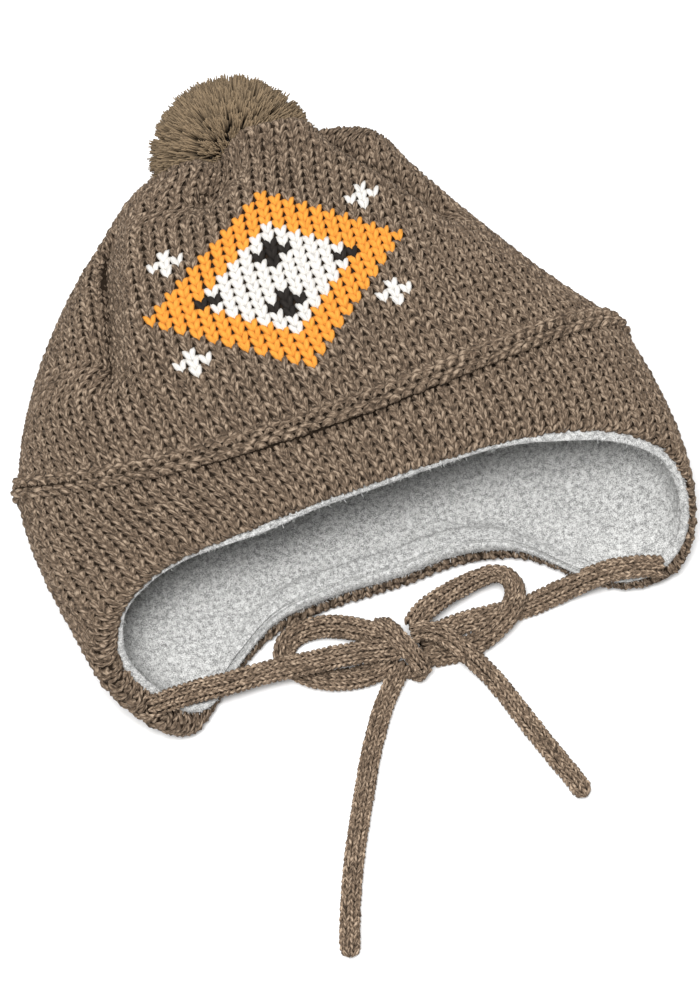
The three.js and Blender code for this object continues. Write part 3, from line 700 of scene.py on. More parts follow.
def knit_arrays(place, anchors, templates, seed, jitter):
    """Points, faces and yarn coordinates of a leg from each template at each anchor."""
    rng = np.random.default_rng(seed)
    all_points, all_faces, all_uvs = [], [], []
    start = 0
    for verts, faces, uvs in templates:
        count = len(anchors)
        shake = rng.normal(0, 1, (count, 1, 3)) * np.array(jitter)
        swell = 1 + rng.normal(0, 0.05, (count, 1))
        col = anchors[:, None, 0] + verts[None, :, 0] * swell + shake[..., 0]
        row = anchors[:, None, 1] + verts[None, :, 1] + shake[..., 1]
        points = place(col, row, verts[None, :, 2] * swell + shake[..., 2])
        offset = np.arange(count)[:, None, None] * len(verts) + start
        all_points.append(points.reshape(-1, 3))
        all_faces.append((faces[None] + offset).reshape(-1, faces.shape[1]))
        slide = np.stack([rng.uniform(0, 1, count), rng.uniform(0, 900, count)], axis=-1)
        all_uvs.append((uvs[None] + slide[:, None, None, :]).reshape(-1, 2))
        start += count * len(verts)
    return np.concatenate(all_points), np.concatenate(all_faces), np.concatenate(all_uvs)


def joined(sets):
    """Several sets of points, faces and yarn coordinates as one."""
    starts = np.cumsum([0] + [len(points) for points, faces, uvs in sets])
    return (
        np.concatenate([points for points, faces, uvs in sets]),
        np.concatenate([faces + start for (points, faces, uvs), start in zip(sets, starts)]),
        np.concatenate([uvs for points, faces, uvs in sets]),
    )


def skin(rows, poles):
    """Joins rows of points into one closed skin. Poles close the first and last row on a point."""
    rows = np.asarray(rows)
    count = rows.shape[1]
    points = rows.reshape(-1, 3)
    faces = []
    last = len(rows) - 1 if poles else len(rows)
    k = np.arange(count)
    for r in range(last):
        n = (r + 1) % len(rows)
        quad = np.stack([r * count + k, r * count + (k + 1) % count,
                         n * count + (k + 1) % count, n * count + k], axis=-1)
        faces.append(quad[:, [0, 1, 2]])
        faces.append(quad[:, [0, 2, 3]])
    if poles:
        for r, flip in ((0, True), (len(rows) - 1, False)):
            tip = len(points)
            points = np.vstack([points, rows[r].mean(axis=0)])
            fan = np.stack([r * count + k, r * count + (k + 1) % count, np.full(count, tip)], axis=-1)
            faces.append(fan[:, ::-1] if flip else fan)
    faces = np.concatenate(faces)
    a, b, c = (points[faces[:, i]] for i in range(3))
    if np.einsum("ij,ij->i", a, np.cross(b, c)).sum() < 0:
        faces = faces[:, ::-1]
    return points, faces


def add_node(tree, kind, inputs=None, links=None, stops=None, **settings):
    """Adds a node with its settings, its inputs' values, its links and a ramp's stops."""
    node = tree.nodes.new(kind)
    for name, value in settings.items():
        setattr(node, name, value)
    for name, value in (inputs or {}).items():
        node.inputs[name].default_value = value
    for name, source in (links or {}).items():
        tree.links.new(source, node.inputs[name])
    if stops:
        ramp = node.color_ramp
        while len(ramp.elements) < len(stops):
            ramp.elements.new(0.5)
        for element, (place, colour) in zip(ramp.elements, stops):
            element.position = place
            element.color = (*colour[:3], 1)
    return node


def new_material(name, rough, sheen, tint, specular=0.25):
    """An empty material with its surface's constants set on the shader."""
    material = bpy.data.materials.new(name)
    material.use_nodes = True
    tree = material.node_tree
    shader = tree.nodes["Principled BSDF"]
    shader.inputs["Roughness"].default_value = rough
    shader.inputs["Specular IOR Level"].default_value = specular
    shader.inputs["Sheen Weight"].default_value = sheen
    shader.inputs["Sheen Roughness"].default_value = 0.5
    shader.inputs["Sheen Tint"].default_value = (*tint[:3], 1)
    return material, tree, shader


def yarn_material(name, dark, middle, light, streaks, contrast):
    """Spun yarn: plies of unlike tone run along each leg, with fine fibres across them.

    The yarn coordinate counts turns round the yarn and millimetres along it.
    """
    found = bpy.data.materials.get(name)
    if found:
        return found
    material, tree, shader = new_material(name, 0.95, 0.08, light, 0.2)
    coords = add_node(tree, "ShaderNodeTexCoord")
    turned = add_node(tree, "ShaderNodeMapping", {"Scale": (streaks, 0.4, 1), "Rotation": (0, 0, 0.12)},
                      {"Vector": coords.outputs["UV"]})
    plies = add_node(tree, "ShaderNodeTexNoise", {"Scale": 1.0, "Detail": 3.0, "Roughness": 0.62},
                     {"Vector": turned.outputs["Vector"]})
    tone = add_node(tree, "ShaderNodeValToRGB", None, {"Fac": plies.outputs["Fac"]},
                    [(0.5 - contrast, dark), (0.5, middle), (0.5 + contrast, light)])
    finer = add_node(tree, "ShaderNodeMapping", {"Scale": (streaks * 4, 1.6, 1), "Rotation": (0, 0, 0.3)},
                     {"Vector": coords.outputs["UV"]})
    fibres = add_node(tree, "ShaderNodeTexNoise", {"Scale": 1.0, "Detail": 2.0, "Roughness": 0.6},
                      {"Vector": finer.outputs["Vector"]})
    raised = add_node(tree, "ShaderNodeBump", {"Strength": 0.7, "Distance": 0.00035},
                      {"Height": fibres.outputs["Fac"]})
    tree.links.new(tone.outputs["Color"], shader.inputs["Base Color"])
    tree.links.new(raised.outputs["Normal"], shader.inputs["Normal"])
    return material


def marl_material(colours, name="Marl wool-blend yarn, stockinette knit, 0.5 mm plies",
                  streaks=7.0, lift=1.0):
    """The hat's own marl: taupe plies of three tones, which read as flecks along each leg."""
    plies = (colours.yarn_dark, colours.yarn_mid, colours.yarn_light)
    return yarn_material(name, *(toned(ply, lift) for ply in plies), streaks, 0.15)


def backing_shade_material(colours):
    """Painted shade between the knit's stitches: the knit's back, dull and much darker than the yarn."""
    found = bpy.data.materials.get("Wool-blend knit back, painted shade")
    if found:
        return found
    material, _, shader = new_material("Wool-blend knit back, painted shade", 1.0, 0.0, (1, 1, 1), 0.0)
    # Darker than the yarn's darkest ply: painted shade between the stitches.
    shader.inputs["Base Color"].default_value = (*toned(colours.yarn_dark, 0.75), 1)
    return material


def fleece_material(colours):
    """Brushed polyester fleece in a melange: light and dark fibres, mottled about 0.6 mm apart."""
    found = bpy.data.materials.get("Polyester fleece, brushed, 0.6 mm melange")
    if found:
        return found
    material, tree, shader = new_material(
        "Polyester fleece, brushed, 0.6 mm melange", 1.0, 0.12, colours.fleece_light, 0.1)
    coords = add_node(tree, "ShaderNodeTexCoord")
    fine = add_node(tree, "ShaderNodeTexNoise", {"Scale": 2800.0, "Detail": 2.0, "Roughness": 0.7},
                    {"Vector": coords.outputs["Object"]})
    clumps = add_node(tree, "ShaderNodeTexNoise", {"Scale": 700.0, "Detail": 3.0, "Roughness": 0.6},
                      {"Vector": coords.outputs["Object"]})
    mixed = add_node(tree, "ShaderNodeMath", {1: 0.55}, {0: fine.outputs["Fac"]}, operation="MULTIPLY")
    total = add_node(tree, "ShaderNodeMath", {1: 0.45},
                     {0: clumps.outputs["Fac"], 2: mixed.outputs["Value"]}, operation="MULTIPLY_ADD")
    tone = add_node(tree, "ShaderNodeValToRGB", None, {"Fac": total.outputs["Value"]},
                    [(0.4, colours.fleece_dark), (0.6, colours.fleece_light)])
    raised = add_node(tree, "ShaderNodeBump", {"Strength": 0.8, "Distance": 0.0006},
                      {"Height": total.outputs["Value"]})
    tree.links.new(tone.outputs["Color"], shader.inputs["Base Color"])
    tree.links.new(raised.outputs["Normal"], shader.inputs["Normal"])
    return material


def pile_material(name, root, tip, light, sheen):
    """Strands whose coordinate is a number for each strand and the share of its length. Each strand darkens
    towards its root: painted shade among the strands.
    """
    found = bpy.data.materials.get(name)
    if found:
        return found
    material, tree, shader = new_material(name, 0.9, sheen, light, 0.3)
    coords = add_node(tree, "ShaderNodeTexCoord")
    parts = add_node(tree, "ShaderNodeSeparateXYZ", None, {"Vector": coords.outputs["UV"]})
    # Painted shade: the root colour at each strand's base, fading into the tip colour along it.
    along = add_node(tree, "ShaderNodeValToRGB", None, {"Fac": parts.outputs["Y"]},
                     [(0.15, root), (0.8, tip)])
    tone = add_node(tree, "ShaderNodeValToRGB", None, {"Fac": parts.outputs["X"]},
                    [(0.0, toned(root, 0.55)), (0.45, tip), (1.0, light)])
    mixed = add_node(tree, "ShaderNodeMix", {0: 0.5}, {6: along.outputs["Color"], 7: tone.outputs["Color"]},
                     data_type="RGBA")
    tree.links.new(mixed.outputs[2], shader.inputs["Base Color"])
    return material


def settle(piece, materials, nodes):
    """Gives a finished piece its materials and its body, and hides the frame's parts that it stands for."""
    for material in materials:
        piece.data.materials.append(material)
    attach(piece, "root")
    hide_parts(*nodes)


def hat_templates(sizes, wide, parts=1, sides=6):
    """Both legs of a stitch, drawn narrower where a column is knitted in parts."""
    path = [(x / parts, y, z, w) for x, y, z, w in LEG_PATH]
    return [
        leg_template(path, sides, wide * parts, sizes.stitch_tall,
                     sizes.yarn_wide, sizes.yarn_wide * YARN_FLATNESS, side)
        for side in (False, True)
    ]


def crown_anchors(cloth, inside):
    """The stitches of the crown's front or back: whole columns and rows that lie on it."""
    whole_cols = np.flatnonzero(np.isclose(cloth.cols % 1, 0))
    whole_rows = np.flatnonzero(np.isclose(cloth.rows % 1, 0))
    spots = [(cloth.cols[i], cloth.rows[j]) for i in whole_cols for j in whole_rows
             if inside[i, j] and cloth.rows[j] >= 1]
    return np.array(spots)


class HAT_OT_crown(bpy.types.Operator):
    """Knits the crown above the ridge, front and back, with its charted motif"""
    bl_idname = "hat.crown"
    bl_label = "Crown"

    def execute(self, context):
        sizes = context.scene.hat_sizes
        colours = context.scene.hat_colours
        turns = turns_round(120)
        edge = 0.0046 * CROWN_RINGS[1][0] / ((CROWN_RINGS[1][3] - CROWN_RINGS[0][3]) * CROWN_REACH)
        reaches = np.linspace(edge, 1, 46)
        outer = [crown_point(OUTER_TIP, r, turns, BACKING_INSET) for r in reaches[::-1]]
        inner = [crown_point(INNER_TIP, r, turns, KNIT_WALL) for r in reaches]
        points, faces = skin(outer + inner, True)
        shell = mesh_object("crown_backing", points, faces)
        # The backing shell's dark colour is painted shade behind the stitches.
        settle(shell, [backing_shade_material(colours)], ["crown"])

        counts = column_counts(sizes.stitch_wide)
        chart = {}
        for down, letters in enumerate(MOTIF_CHART):
            for across, letter in enumerate(letters):
                if letter != ".":
                    row = MOTIF_FIRST_ROW + len(MOTIF_CHART) - 1 - down
                    chart[(across - len(letters) // 2, row)] = letter
        yarns = {
            "o": ("motif_orange", "Dyed orange yarn, stockinette knit", colours.orange),
            "w": ("motif_white", "Undyed off-white yarn, stockinette knit", colours.white),
            "k": ("motif_black", "Dyed near-black yarn, stockinette knit", colours.black),
        }
        halves = zip((0, math.pi), counts, ("crown_front", "crown_back"))
        for number, (mid_turn, (_, wide), name) in enumerate(halves):
            cloth, inside = crown_cloth(mid_turn, wide, sizes.stitch_tall, STITCH_INSET)
            anchors = crown_anchors(cloth, inside)
            if mid_turn:
                letters = np.full(len(anchors), ".")
            else:
                letters = np.array([chart.get((round(c), round(r)), ".") for c, r in anchors])
            templates = hat_templates(sizes, wide, sides=4 if mid_turn else 6)
            plain = knit_arrays(cloth.place, anchors[letters == "."], templates,
                                SEEDS["crown"] + number, STITCH_JITTER)
            piece = mesh_object(name, *plain)
            settle(piece, [marl_material(colours)], ["crown"])
            for letter in "owk" if not mid_turn else "":
                piece_name, finish, colour = yarns[letter]
                made = knit_arrays(cloth.place, anchors[letters == letter], templates,
                                   SEEDS["motif"], STITCH_JITTER)
                piece = mesh_object(piece_name, *made)
                yarn = yarn_material(finish, toned(colour, 0.72), toned(colour, 1),
                                     toned(colour, 1.12, 0.01), 7.0, 0.22)
                settle(piece, [yarn], ["crown"])
        return {"FINISHED"}


class HAT_OT_ridge(bpy.types.Operator):
    """Knits the raised purl ridge between the crown and the band"""
    bl_idname = "hat.ridge"
    bl_label = "Ridge"

    def execute(self, context):
        sizes = context.scene.hat_sizes
        colours = context.scene.hat_colours
        counts = column_counts(sizes.stitch_wide)
        turns = turns_round(180)
        profile = ((1, -0.0026), (1, -0.0008), (0.6, 0.0010), (-0.1, 0.0021), (-0.8, 0.0014),
                   (-1, -0.0008), (-1, -0.0026))
        rows = [ridge_point(turns, np.full(len(turns), place * RIDGE_TALL / 2 * 0.95),
                            proud * (1 - RIDGE_SIDE_FLATTENING * np.sin(turns) ** 2))
                for place, proud in profile]
        points, faces = skin(rows, False)
        shell = mesh_object("ridge_backing", points, faces)
        # The backing shell's dark colour is painted shade behind the purl bumps.
        settle(shell, [backing_shade_material(colours)], ["ridge"])

        cloth = ridge_cloth(counts, PURL_ROW, 0.0008)
        whole = -counts[0][0] / 2 + np.arange(sum(count for count, _ in counts)) + 0.5
        flipped = [(x, -y, z, w) for x, y, z, w in PURL_PATH]
        made = []
        for path, shift, heights in ((PURL_PATH, 0, (-1.4, 0.3)), (flipped, 0.5, (-0.55, 1.15))):
            bump = leg_template(path, 6, sizes.stitch_wide, PURL_ROW, PURL_YARN, PURL_YARN, False)
            spots = np.array([(c + shift, h) for c in whole for h in heights])
            made.append(knit_arrays(cloth.place, spots, [bump], SEEDS["ridge"], PURL_JITTER))
        piece = mesh_object("ridge_purls", *joined(made))
        settle(piece, [marl_material(colours)], ["ridge"])
        return {"FINISHED"}


class HAT_OT_band(bpy.types.Operator):
    """Knits the band below the ridge with both earflaps, rolled in at the opening

    Where the cloth widens, a column is knitted in two or three, so stitches keep their width.
    """
    bl_idname = "hat.band"
    bl_label = "Band and earflaps"

    def execute(self, context):
        sizes = context.scene.hat_sizes
        colours = context.scene.hat_colours
        counts = column_counts(sizes.stitch_wide)
        turns = turns_round(160)
        rows = list(np.moveaxis(rolled_lines(turns, BACKING_INSET)[:, 3::2], 1, 0))
        rows += list(np.moveaxis(rolled_lines(turns, KNIT_WALL)[:, 57:2:-3], 1, 0))
        points, faces = skin(rows, False)
        shell = mesh_object("band_backing", points, faces)
        # The backing shell's dark colour is painted shade behind the stitches.
        settle(shell, [backing_shade_material(colours)], ["band"])

        cloth, cols, deepest = band_cloth(counts, sizes.stitch_tall, STITCH_INSET)
        whole = -counts[0][0] // 2 + np.arange(sum(count for count, _ in counts))
        start = (RIDGE_TALL / 2 + 0.0004) / sizes.stitch_tall
        spots = {(half, parts): [] for half in ("front", "back") for parts in (1, 2, 3)}
        for col in whole:
            depth = np.interp(col, cols, deepest) / sizes.stitch_tall
            half = "front" if abs(col) < counts[0][0] / 2 else "back"
            for down in np.arange(start + 0.2, depth + 0.4, 1):
                edges = cloth.place(np.array([col - 0.4, col + 0.4]), np.array([-down, -down]), np.zeros(2))
                stretch = np.linalg.norm(edges[1] - edges[0]) / 0.8 / sizes.stitch_wide
                parts = int(np.clip(round(stretch - 0.1), 1, 3))
                for part in range(parts):
                    spots[half, parts].append((col + (part + 0.5) / parts - 0.5, -down))
        made = {"front": [], "back": []}
        for (half, parts), anchors in spots.items():
            if not anchors:
                continue
            templates = hat_templates(sizes, sizes.stitch_wide, parts, 6 if half == "front" else 4)
            made[half].append(knit_arrays(
                cloth.place, np.array(anchors), templates, SEEDS["band"] + parts, STITCH_JITTER))
        for half, sets in made.items():
            piece = mesh_object("band_" + half, *joined(sets))
            settle(piece, [marl_material(colours)], ["band"])
        return {"FINISHED"}


def lining_rows(turns):
    """The fleece's inside from the crown's top to the rim, then its outside back again."""
    inset = LINING_INSIDE[0]
    rows = [crown_point(INNER_TIP, r, turns, inset) for r in np.linspace(1, 0.03, 26)]
    out = outward(turns)
    run = np.linalg.norm(hem_point(turns) - ridge_line(turns, 0), axis=-1)
    nape = smooth_step(-np.cos(turns), 0.35, 0.6)
    left = smooth_step(-np.sin(turns), 0.2, 0.8)
    side = smooth_step(np.abs(np.sin(turns)), 0.2, 0.8)
    for share in np.concatenate([np.linspace(0, 0.88, 36), np.linspace(0.89, 1, 18)]):
        row = band_point(LINING_INSIDE, share, turns)
        from_rim = (1 - share) * 1.1 * run
        groove = (0.0014 + 0.0016 * side + 0.0016 * left) * np.exp(
            -((from_rim - 0.0021 - 0.0014 * side) / (0.0009 + 0.0010 * side)) ** 2)
        strip = FACING_STEP * nape * (1 - smooth_step(from_rim, FACING_WIDTH - 0.0012, FACING_WIDTH))
        seam = 0.0008 * nape * np.exp(-((row[:, 0] - 0.0115) / 0.0008) ** 2)
        rows.append(row - out * (strip - seam - groove)[:, None])
    inner_edge = rows[-1]
    rim_bulge = 0.5 + 0.6 * smooth_step(np.cos(turns), 0, 0.5)
    rim_bulge = rim_bulge - 0.5 * smooth_step(np.cos(turns - 0.15), 0.8, 0.97)
    for across in (0.06, 0.2, 0.4, 0.6, 0.8, 0.94):
        edge = inner_edge * (1 - across) + band_point(LINING_OUTSIDE, 1, turns) * across
        edge[:, 1] -= LINING_RIM * rim_bulge * math.sqrt(math.sin(math.pi * across))
        rows.append(edge)
    rows += [band_point(LINING_OUTSIDE, s, turns) for s in np.linspace(1, 0, 16)]
    rows += [crown_point(INNER_TIP, r, turns, LINING_OUTSIDE[0]) for r in np.linspace(0.03, 1, 14)]
    return np.array(rows)


def strand_arrays(roots, ways, lengths, widths, bends, taper, seed):
    """Three-sided strands with blunt ends from their roots, each with a number of its own."""
    rng = np.random.default_rng(seed)
    count = len(roots)
    helper = np.where(np.abs(ways[:, 2:3]) < 0.8, [[0, 0, 1]], [[1, 0, 0]])
    a = np.cross(ways, helper)
    a /= np.linalg.norm(a, axis=-1, keepdims=True)
    b = np.cross(ways, a)
    angle = np.arange(3) * 2 * math.pi / 3 + rng.uniform(0, 2, (count, 1))
    ring = a[:, None] * np.cos(angle)[..., None] + b[:, None] * np.sin(angle)[..., None]
    tip = roots + ways * lengths[:, None] + bends
    points = np.concatenate([
        roots[:, None] + ring * widths[:, None, None] * 0.5,
        tip[:, None] + ring * widths[:, None, None] * 0.5 * taper,
    ], axis=1)
    points[..., 2] = np.maximum(points[..., 2], OFF_TABLE)
    faces = [(0, 2, 1), (3, 4, 5)]
    shares = [(0, 0, 0), (1, 1, 1)]
    for m in range(3):
        n = (m + 1) % 3
        faces += [(m, n, 3 + n), (m, 3 + n, 3 + m)]
        shares += [(0, 0, 1), (0, 1, 1)]
    faces = np.array(faces)[None] + np.arange(count)[:, None, None] * 6
    own = np.broadcast_to(rng.uniform(0.02, 0.98, count)[:, None, None], (count, 8, 3))
    share = np.broadcast_to(np.array(shares, float)[None], (count, 8, 3))
    uvs = np.stack([own, share], axis=-1)
    return points.reshape(-1, 3), faces.reshape(-1, 3), uvs.reshape(-1, 2)


class HAT_OT_lining(bpy.types.Operator):
    """Sews the fleece lining with its rim, nape strip and back seam, and raises its pile"""
    bl_idname = "hat.lining"
    bl_label = "Fleece lining"

    def execute(self, context):
        sizes = context.scene.hat_sizes
        colours = context.scene.hat_colours
        turns = turns_round(240)
        rows = lining_rows(turns)
        points, faces = skin(rows, True)
        shell = mesh_object("lining_fleece", points, faces)
        settle(shell, [fleece_material(colours)], ["lining"])

        rng = np.random.default_rng(SEEDS["fleece"])
        visible = rows[5:86]
        down = np.gradient(visible, axis=0)
        across = np.roll(visible, -1, axis=1) - np.roll(visible, 1, axis=1)
        normals = np.cross(across, down)
        areas = np.linalg.norm(normals, axis=-1)
        normals /= np.maximum(areas, 1e-12)[..., None]
        middle = visible.reshape(-1, 3).mean(axis=0)
        if np.einsum("ijk,ijk->", normals[:50], middle - visible[:50]) < 0:
            normals = -normals
        weight = areas * smooth_step(-visible[..., 1], -0.035, -0.005)
        weight[70:] *= 3
        pick = rng.choice(weight.size, FLEECE_STRANDS, p=(weight / weight.sum()).ravel())
        i, j = np.unravel_index(pick, weight.shape)
        nudge = rng.uniform(-0.5, 0.5, (2, len(pick), 1))
        roots = visible[i, j] + down[i, j] * nudge[0] + across[i, j] * 0.5 * nudge[1]
        ways = normals[i, j] + rng.normal(0, 0.75, (len(pick), 3))
        ways /= np.linalg.norm(ways, axis=-1, keepdims=True)
        lengths = sizes.fleece_pile * rng.uniform(0.5, 1.3, len(pick))
        widths = rng.uniform(0.00014, 0.00028, len(pick))
        bends = rng.normal(0, 0.0003, (len(pick), 3))
        made = strand_arrays(roots - ways * 0.0002, ways, lengths, widths, bends, 0.5, SEEDS["pile"])
        pile = mesh_object("lining_pile", *made)
        # The pile's strands darken towards their base in the dark fibre colour: painted shade in the pile.
        finish = pile_material(
            "Polyester fleece, raised pile", toned(colours.fleece_dark, 1),
            toned(colours.fleece_light, 1), toned(colours.fleece_light, 1.1), 0.2)
        settle(pile, [finish], ["lining"])
        return {"FINISHED"}


class HAT_OT_pompom(bpy.types.Operator):
    """Trims the pompom: a heart painted dark as shade, with thousands of cut yarn ends in tufts"""
    bl_idname = "hat.pompom"
    bl_label = "Pompom"

    def execute(self, context):
        sizes = context.scene.hat_sizes
        colours = context.scene.hat_colours
        centre = POM_PLACE + TO_FRAME
        root_radius = POM_RADIUS - sizes.fur_length
        bpy.ops.object.select_all(action="DESELECT")
        bpy.ops.mesh.primitive_ico_sphere_add(subdivisions=4, radius=root_radius * 1.04, location=centre)
        heart = context.object
        heart.name = "pompom_heart"
        bpy.ops.object.transform_apply(location=True, rotation=True, scale=True)
        bpy.ops.object.shade_smooth()
        # The heart and the strands' roots take this dark colour: painted shade inside the pompom.
        root = colours.pom_root_shade
        deep = pile_material("Acrylic yarn, cut pompom heart, painted shade", toned(root, 0.5), toned(root, 0.6),
                             toned(root, 1), 0.0)
        settle(heart, [deep], ["pompom"])

        rng = np.random.default_rng(SEEDS["pompom"])
        number = np.arange(POM_STRANDS) + 0.5
        height = 1 - 2 * number / POM_STRANDS
        angle = number * math.pi * (3 - math.sqrt(5))
        flat = np.sqrt(1 - height**2)
        ways = np.stack([flat * np.cos(angle), flat * np.sin(angle), height], axis=-1)
        ways += rng.normal(0, 0.045, ways.shape)
        ways /= np.linalg.norm(ways, axis=-1, keepdims=True)
        tufts = rng.normal(0, 1, (POM_TUFTS, 3))
        tufts /= np.linalg.norm(tufts, axis=-1, keepdims=True)
        nearest = np.argmax(ways @ tufts.T, axis=1)
        lean = tufts[nearest] - ways
        uneven = 1 + rng.normal(0, 0.035, POM_STRANDS)
        lengths = sizes.fur_length * (uneven + rng.normal(0, 0.035, POM_TUFTS)[nearest])
        roots = POM_PLACE + ways * root_radius * 0.97
        bends = lean * POM_RADIUS * 0.44 + rng.normal(0, 0.0007, ways.shape)
        bends[:, 2] -= 0.0006
        widths = rng.uniform(0.00053, 0.00082, POM_STRANDS)
        crown_rows = [crown_point(OUTER_TIP, r, turns_round(120), 0) for r in np.linspace(1, 0.05, 40)]
        crown_skin, crown_faces = skin(crown_rows, True)
        tree = BVHTree.FromPolygons(crown_skin.tolist(), crown_faces.tolist())
        keep = np.ones(POM_STRANDS, bool)
        for share in (0.35, 0.7, 1.0):
            spots = roots + ways * lengths[:, None] * share + bends * share**2
            for k in np.flatnonzero(keep):
                near, normal, _, distance = tree.find_nearest(Vector(spots[k]))
                if distance < 0.012 and (Vector(spots[k]) - near).dot(normal) < 0.0004:
                    keep[k] = False
        kept = (each[keep] for each in (roots, ways, lengths, widths, bends))
        made = strand_arrays(*kept, 0.75, SEEDS["strands"])
        fur = mesh_object("pompom_strands", *made)
        finish = pile_material("Acrylic yarn, cut pompom strands", toned(root, 1),
                               toned(colours.pom_tip, 1), toned(colours.pom_tip, 1.75), 0.25)
        settle(fur, [finish], ["pompom"])
        return {"FINISHED"}


class Tape:
    """A flat knitted tie along a route: columns run round it and rows along it."""

    def __init__(self, route, sizes, free_end, roll=(), slim=1.0):
        knots = np.array(route, float)
        along = run_length(knots, 0)
        fine = np.linspace(0, along[-1], int(along[-1] / 0.0008))
        spine = self.smooth(knots, along, fine)
        self.length = run_length(spine, 0)
        self.spine = spine
        self.total = self.length[-1]
        way = np.gradient(spine, axis=0)
        way /= np.linalg.norm(way, axis=-1, keepdims=True)
        side = np.cross(way, np.array([0, 0, 1.0]))
        side /= np.linalg.norm(side, axis=-1, keepdims=True)
        top = np.cross(side, way)
        if roll:
            turn = np.radians(np.interp(self.length / self.total, np.linspace(0, 1, len(roll)), roll))
            side, top = (side * np.cos(turn)[:, None] + top * np.sin(turn)[:, None],
                         top * np.cos(turn)[:, None] - side * np.sin(turn)[:, None])
        self.side = side
        self.top = top
        self.half_wide = sizes.tape_wide * slim / 2 - TAPE_BODY_INSET
        self.half_thick = sizes.tape_thick * slim / 2 - TAPE_BODY_INSET
        angle = np.linspace(0, 2 * math.pi, 721)
        rim = np.stack([-np.cos(angle) * self.half_wide, np.sin(angle) * self.half_thick], axis=-1)
        self.angle = angle
        self.round = run_length(rim, 0)
        self.columns = max(6, int(round(self.round[-1] / sizes.tape_stitch)))
        self.rows = int(self.total / sizes.tape_row)
        self.row_tall = self.total / self.rows
        self.free_end = free_end

    @staticmethod
    def smooth(knots, along, fine):
        """Points along the route, smoothed between its listed ones."""
        count = len(knots)
        i = np.clip(np.searchsorted(along, fine, side="right") - 1, 0, count - 2)
        four = [np.maximum(i - 1, 0), i, i + 1, np.minimum(i + 2, count - 1)]
        keys = [along[k] for k in four]
        return hermite([knots[k] for k in four], keys, (fine - keys[1]) / (keys[2] - keys[1]))

    def place(self, col, row, height):
        """The point at a column round the tape, a row along it and a height off it."""
        far = np.clip(row * self.row_tall, 0, self.total)
        beyond = row * self.row_tall - far
        share = np.ones(np.shape(far))
        if self.free_end:
            into = np.clip((far - self.total + 0.003) / 0.003, 0, 1)
            share = np.sqrt(np.maximum(1 - (into * 0.93) ** 2, 0))
        where = (col % self.columns) / self.columns * self.round[-1]
        angle = np.interp(where, self.round, self.angle)
        spots = [np.stack([np.interp(far, self.length, grid[:, k]) for k in range(3)], axis=-1)
                 for grid in (self.spine, self.side, self.top)]
        across = -np.cos(angle)
        up = np.sin(angle)
        norm = np.hypot(across / self.half_wide, up / self.half_thick)
        x = across * self.half_wide * share + height * (across / self.half_wide) / norm
        z = up * self.half_thick * share + height * (up / self.half_thick) / norm
        point = spots[0] + spots[1] * x[..., None] + spots[2] * z[..., None]
        way = np.cross(spots[2], spots[1])
        point = point + way * beyond[..., None]
        point[..., 2] = np.maximum(point[..., 2], OFF_TABLE)
        return point


def tape_arrays(tape, sizes, seed):
    """Points and faces of the tie's body, and the arrays of the stitches over it."""
    rings = max(8, int(tape.total / 0.0016))
    col, row = np.meshgrid(np.arange(16) / 16 * tape.columns, np.linspace(0, tape.rows, rings))
    shell = tape.place(col, row, np.full(col.shape, -TAPE_BODY_INSET))
    points, faces = skin(shell, True)
    templates = [
        leg_template(TAPE_LEG_PATH, 4, sizes.tape_stitch, tape.row_tall,
                     TAPE_YARN_WIDE, TAPE_YARN_THICK, side)
        for side in (False, True)
    ]
    spots = np.array([(c + 0.5, r) for c in range(tape.columns) for r in range(tape.rows)], float)
    return points, faces, knit_arrays(tape.place, spots, templates, seed, TAPE_JITTER)


def tape_object(name, tape, sizes, colours, seed):
    """One tie as a mesh: its body, painted dark as shade, joined with its stitches."""
    points, faces, made = tape_arrays(tape, sizes, seed)
    body = mesh_object(name + "_body", points, faces, np.zeros((faces.size, 2)))
    # The tie's body takes the painted-shade colour of the knit's backing.
    body.data.materials.append(backing_shade_material(colours))
    knit = mesh_object(name + "_knit", *made)
    knit.data.materials.append(marl_material(
        colours, "Marl wool-blend yarn, fine knitted tape, 0.4 mm plies", 4.0, 1.3))
    bpy.ops.object.select_all(action="DESELECT")
    body.select_set(True)
    knit.select_set(True)
    bpy.context.view_layer.objects.active = knit
    bpy.ops.object.join()
    knit.name = name
    knit.data.name = name
    return knit


class HAT_OT_knot(bpy.types.Operator):
    """Ties the bow's knot: one wrap of the tie over the loops and the ends"""
    bl_idname = "hat.knot"
    bl_label = "Bow knot"

    def execute(self, context):
        sizes = context.scene.hat_sizes
        colours = context.scene.hat_colours
        tape = Tape(KNOT_WRAP, sizes, False, slim=KNOT_SLIM)
        wrap = tape_object("bow_knot_wrap", tape, sizes, colours, SEEDS["knot"])
        settle(wrap, [], ["bow_knot"])
        return {"FINISHED"}


class HAT_OT_ties(bpy.types.Operator):
    bl_idname = "hat.ties"
    bl_label = "Ties"

    def execute(self, context):
        sizes = context.scene.hat_sizes
        colours = context.scene.hat_colours
        rolls = {"loop_left": (0, 10, 30, 30, 10, 0), "loop_right": (0, 15, 35, 35, 15, 0)}
        for number, (name, route) in enumerate(TIE_ROUTES.items()):
            free = name.startswith("tail")
            slim = TAIL_SLIM if free else 1
            tape = Tape(route, sizes, free, rolls.get(name, ()), slim=slim)
            piece = tape_object(name + "_tape", tape, sizes, colours, SEEDS["ties"] + number)
            settle(piece, [], [name])
            path = [Vector(p) for p in tape.spine[::4] + TO_FRAME]
            path.append(Vector(tape.spine[-1] + TO_FRAME))
        return {"FINISHED"}


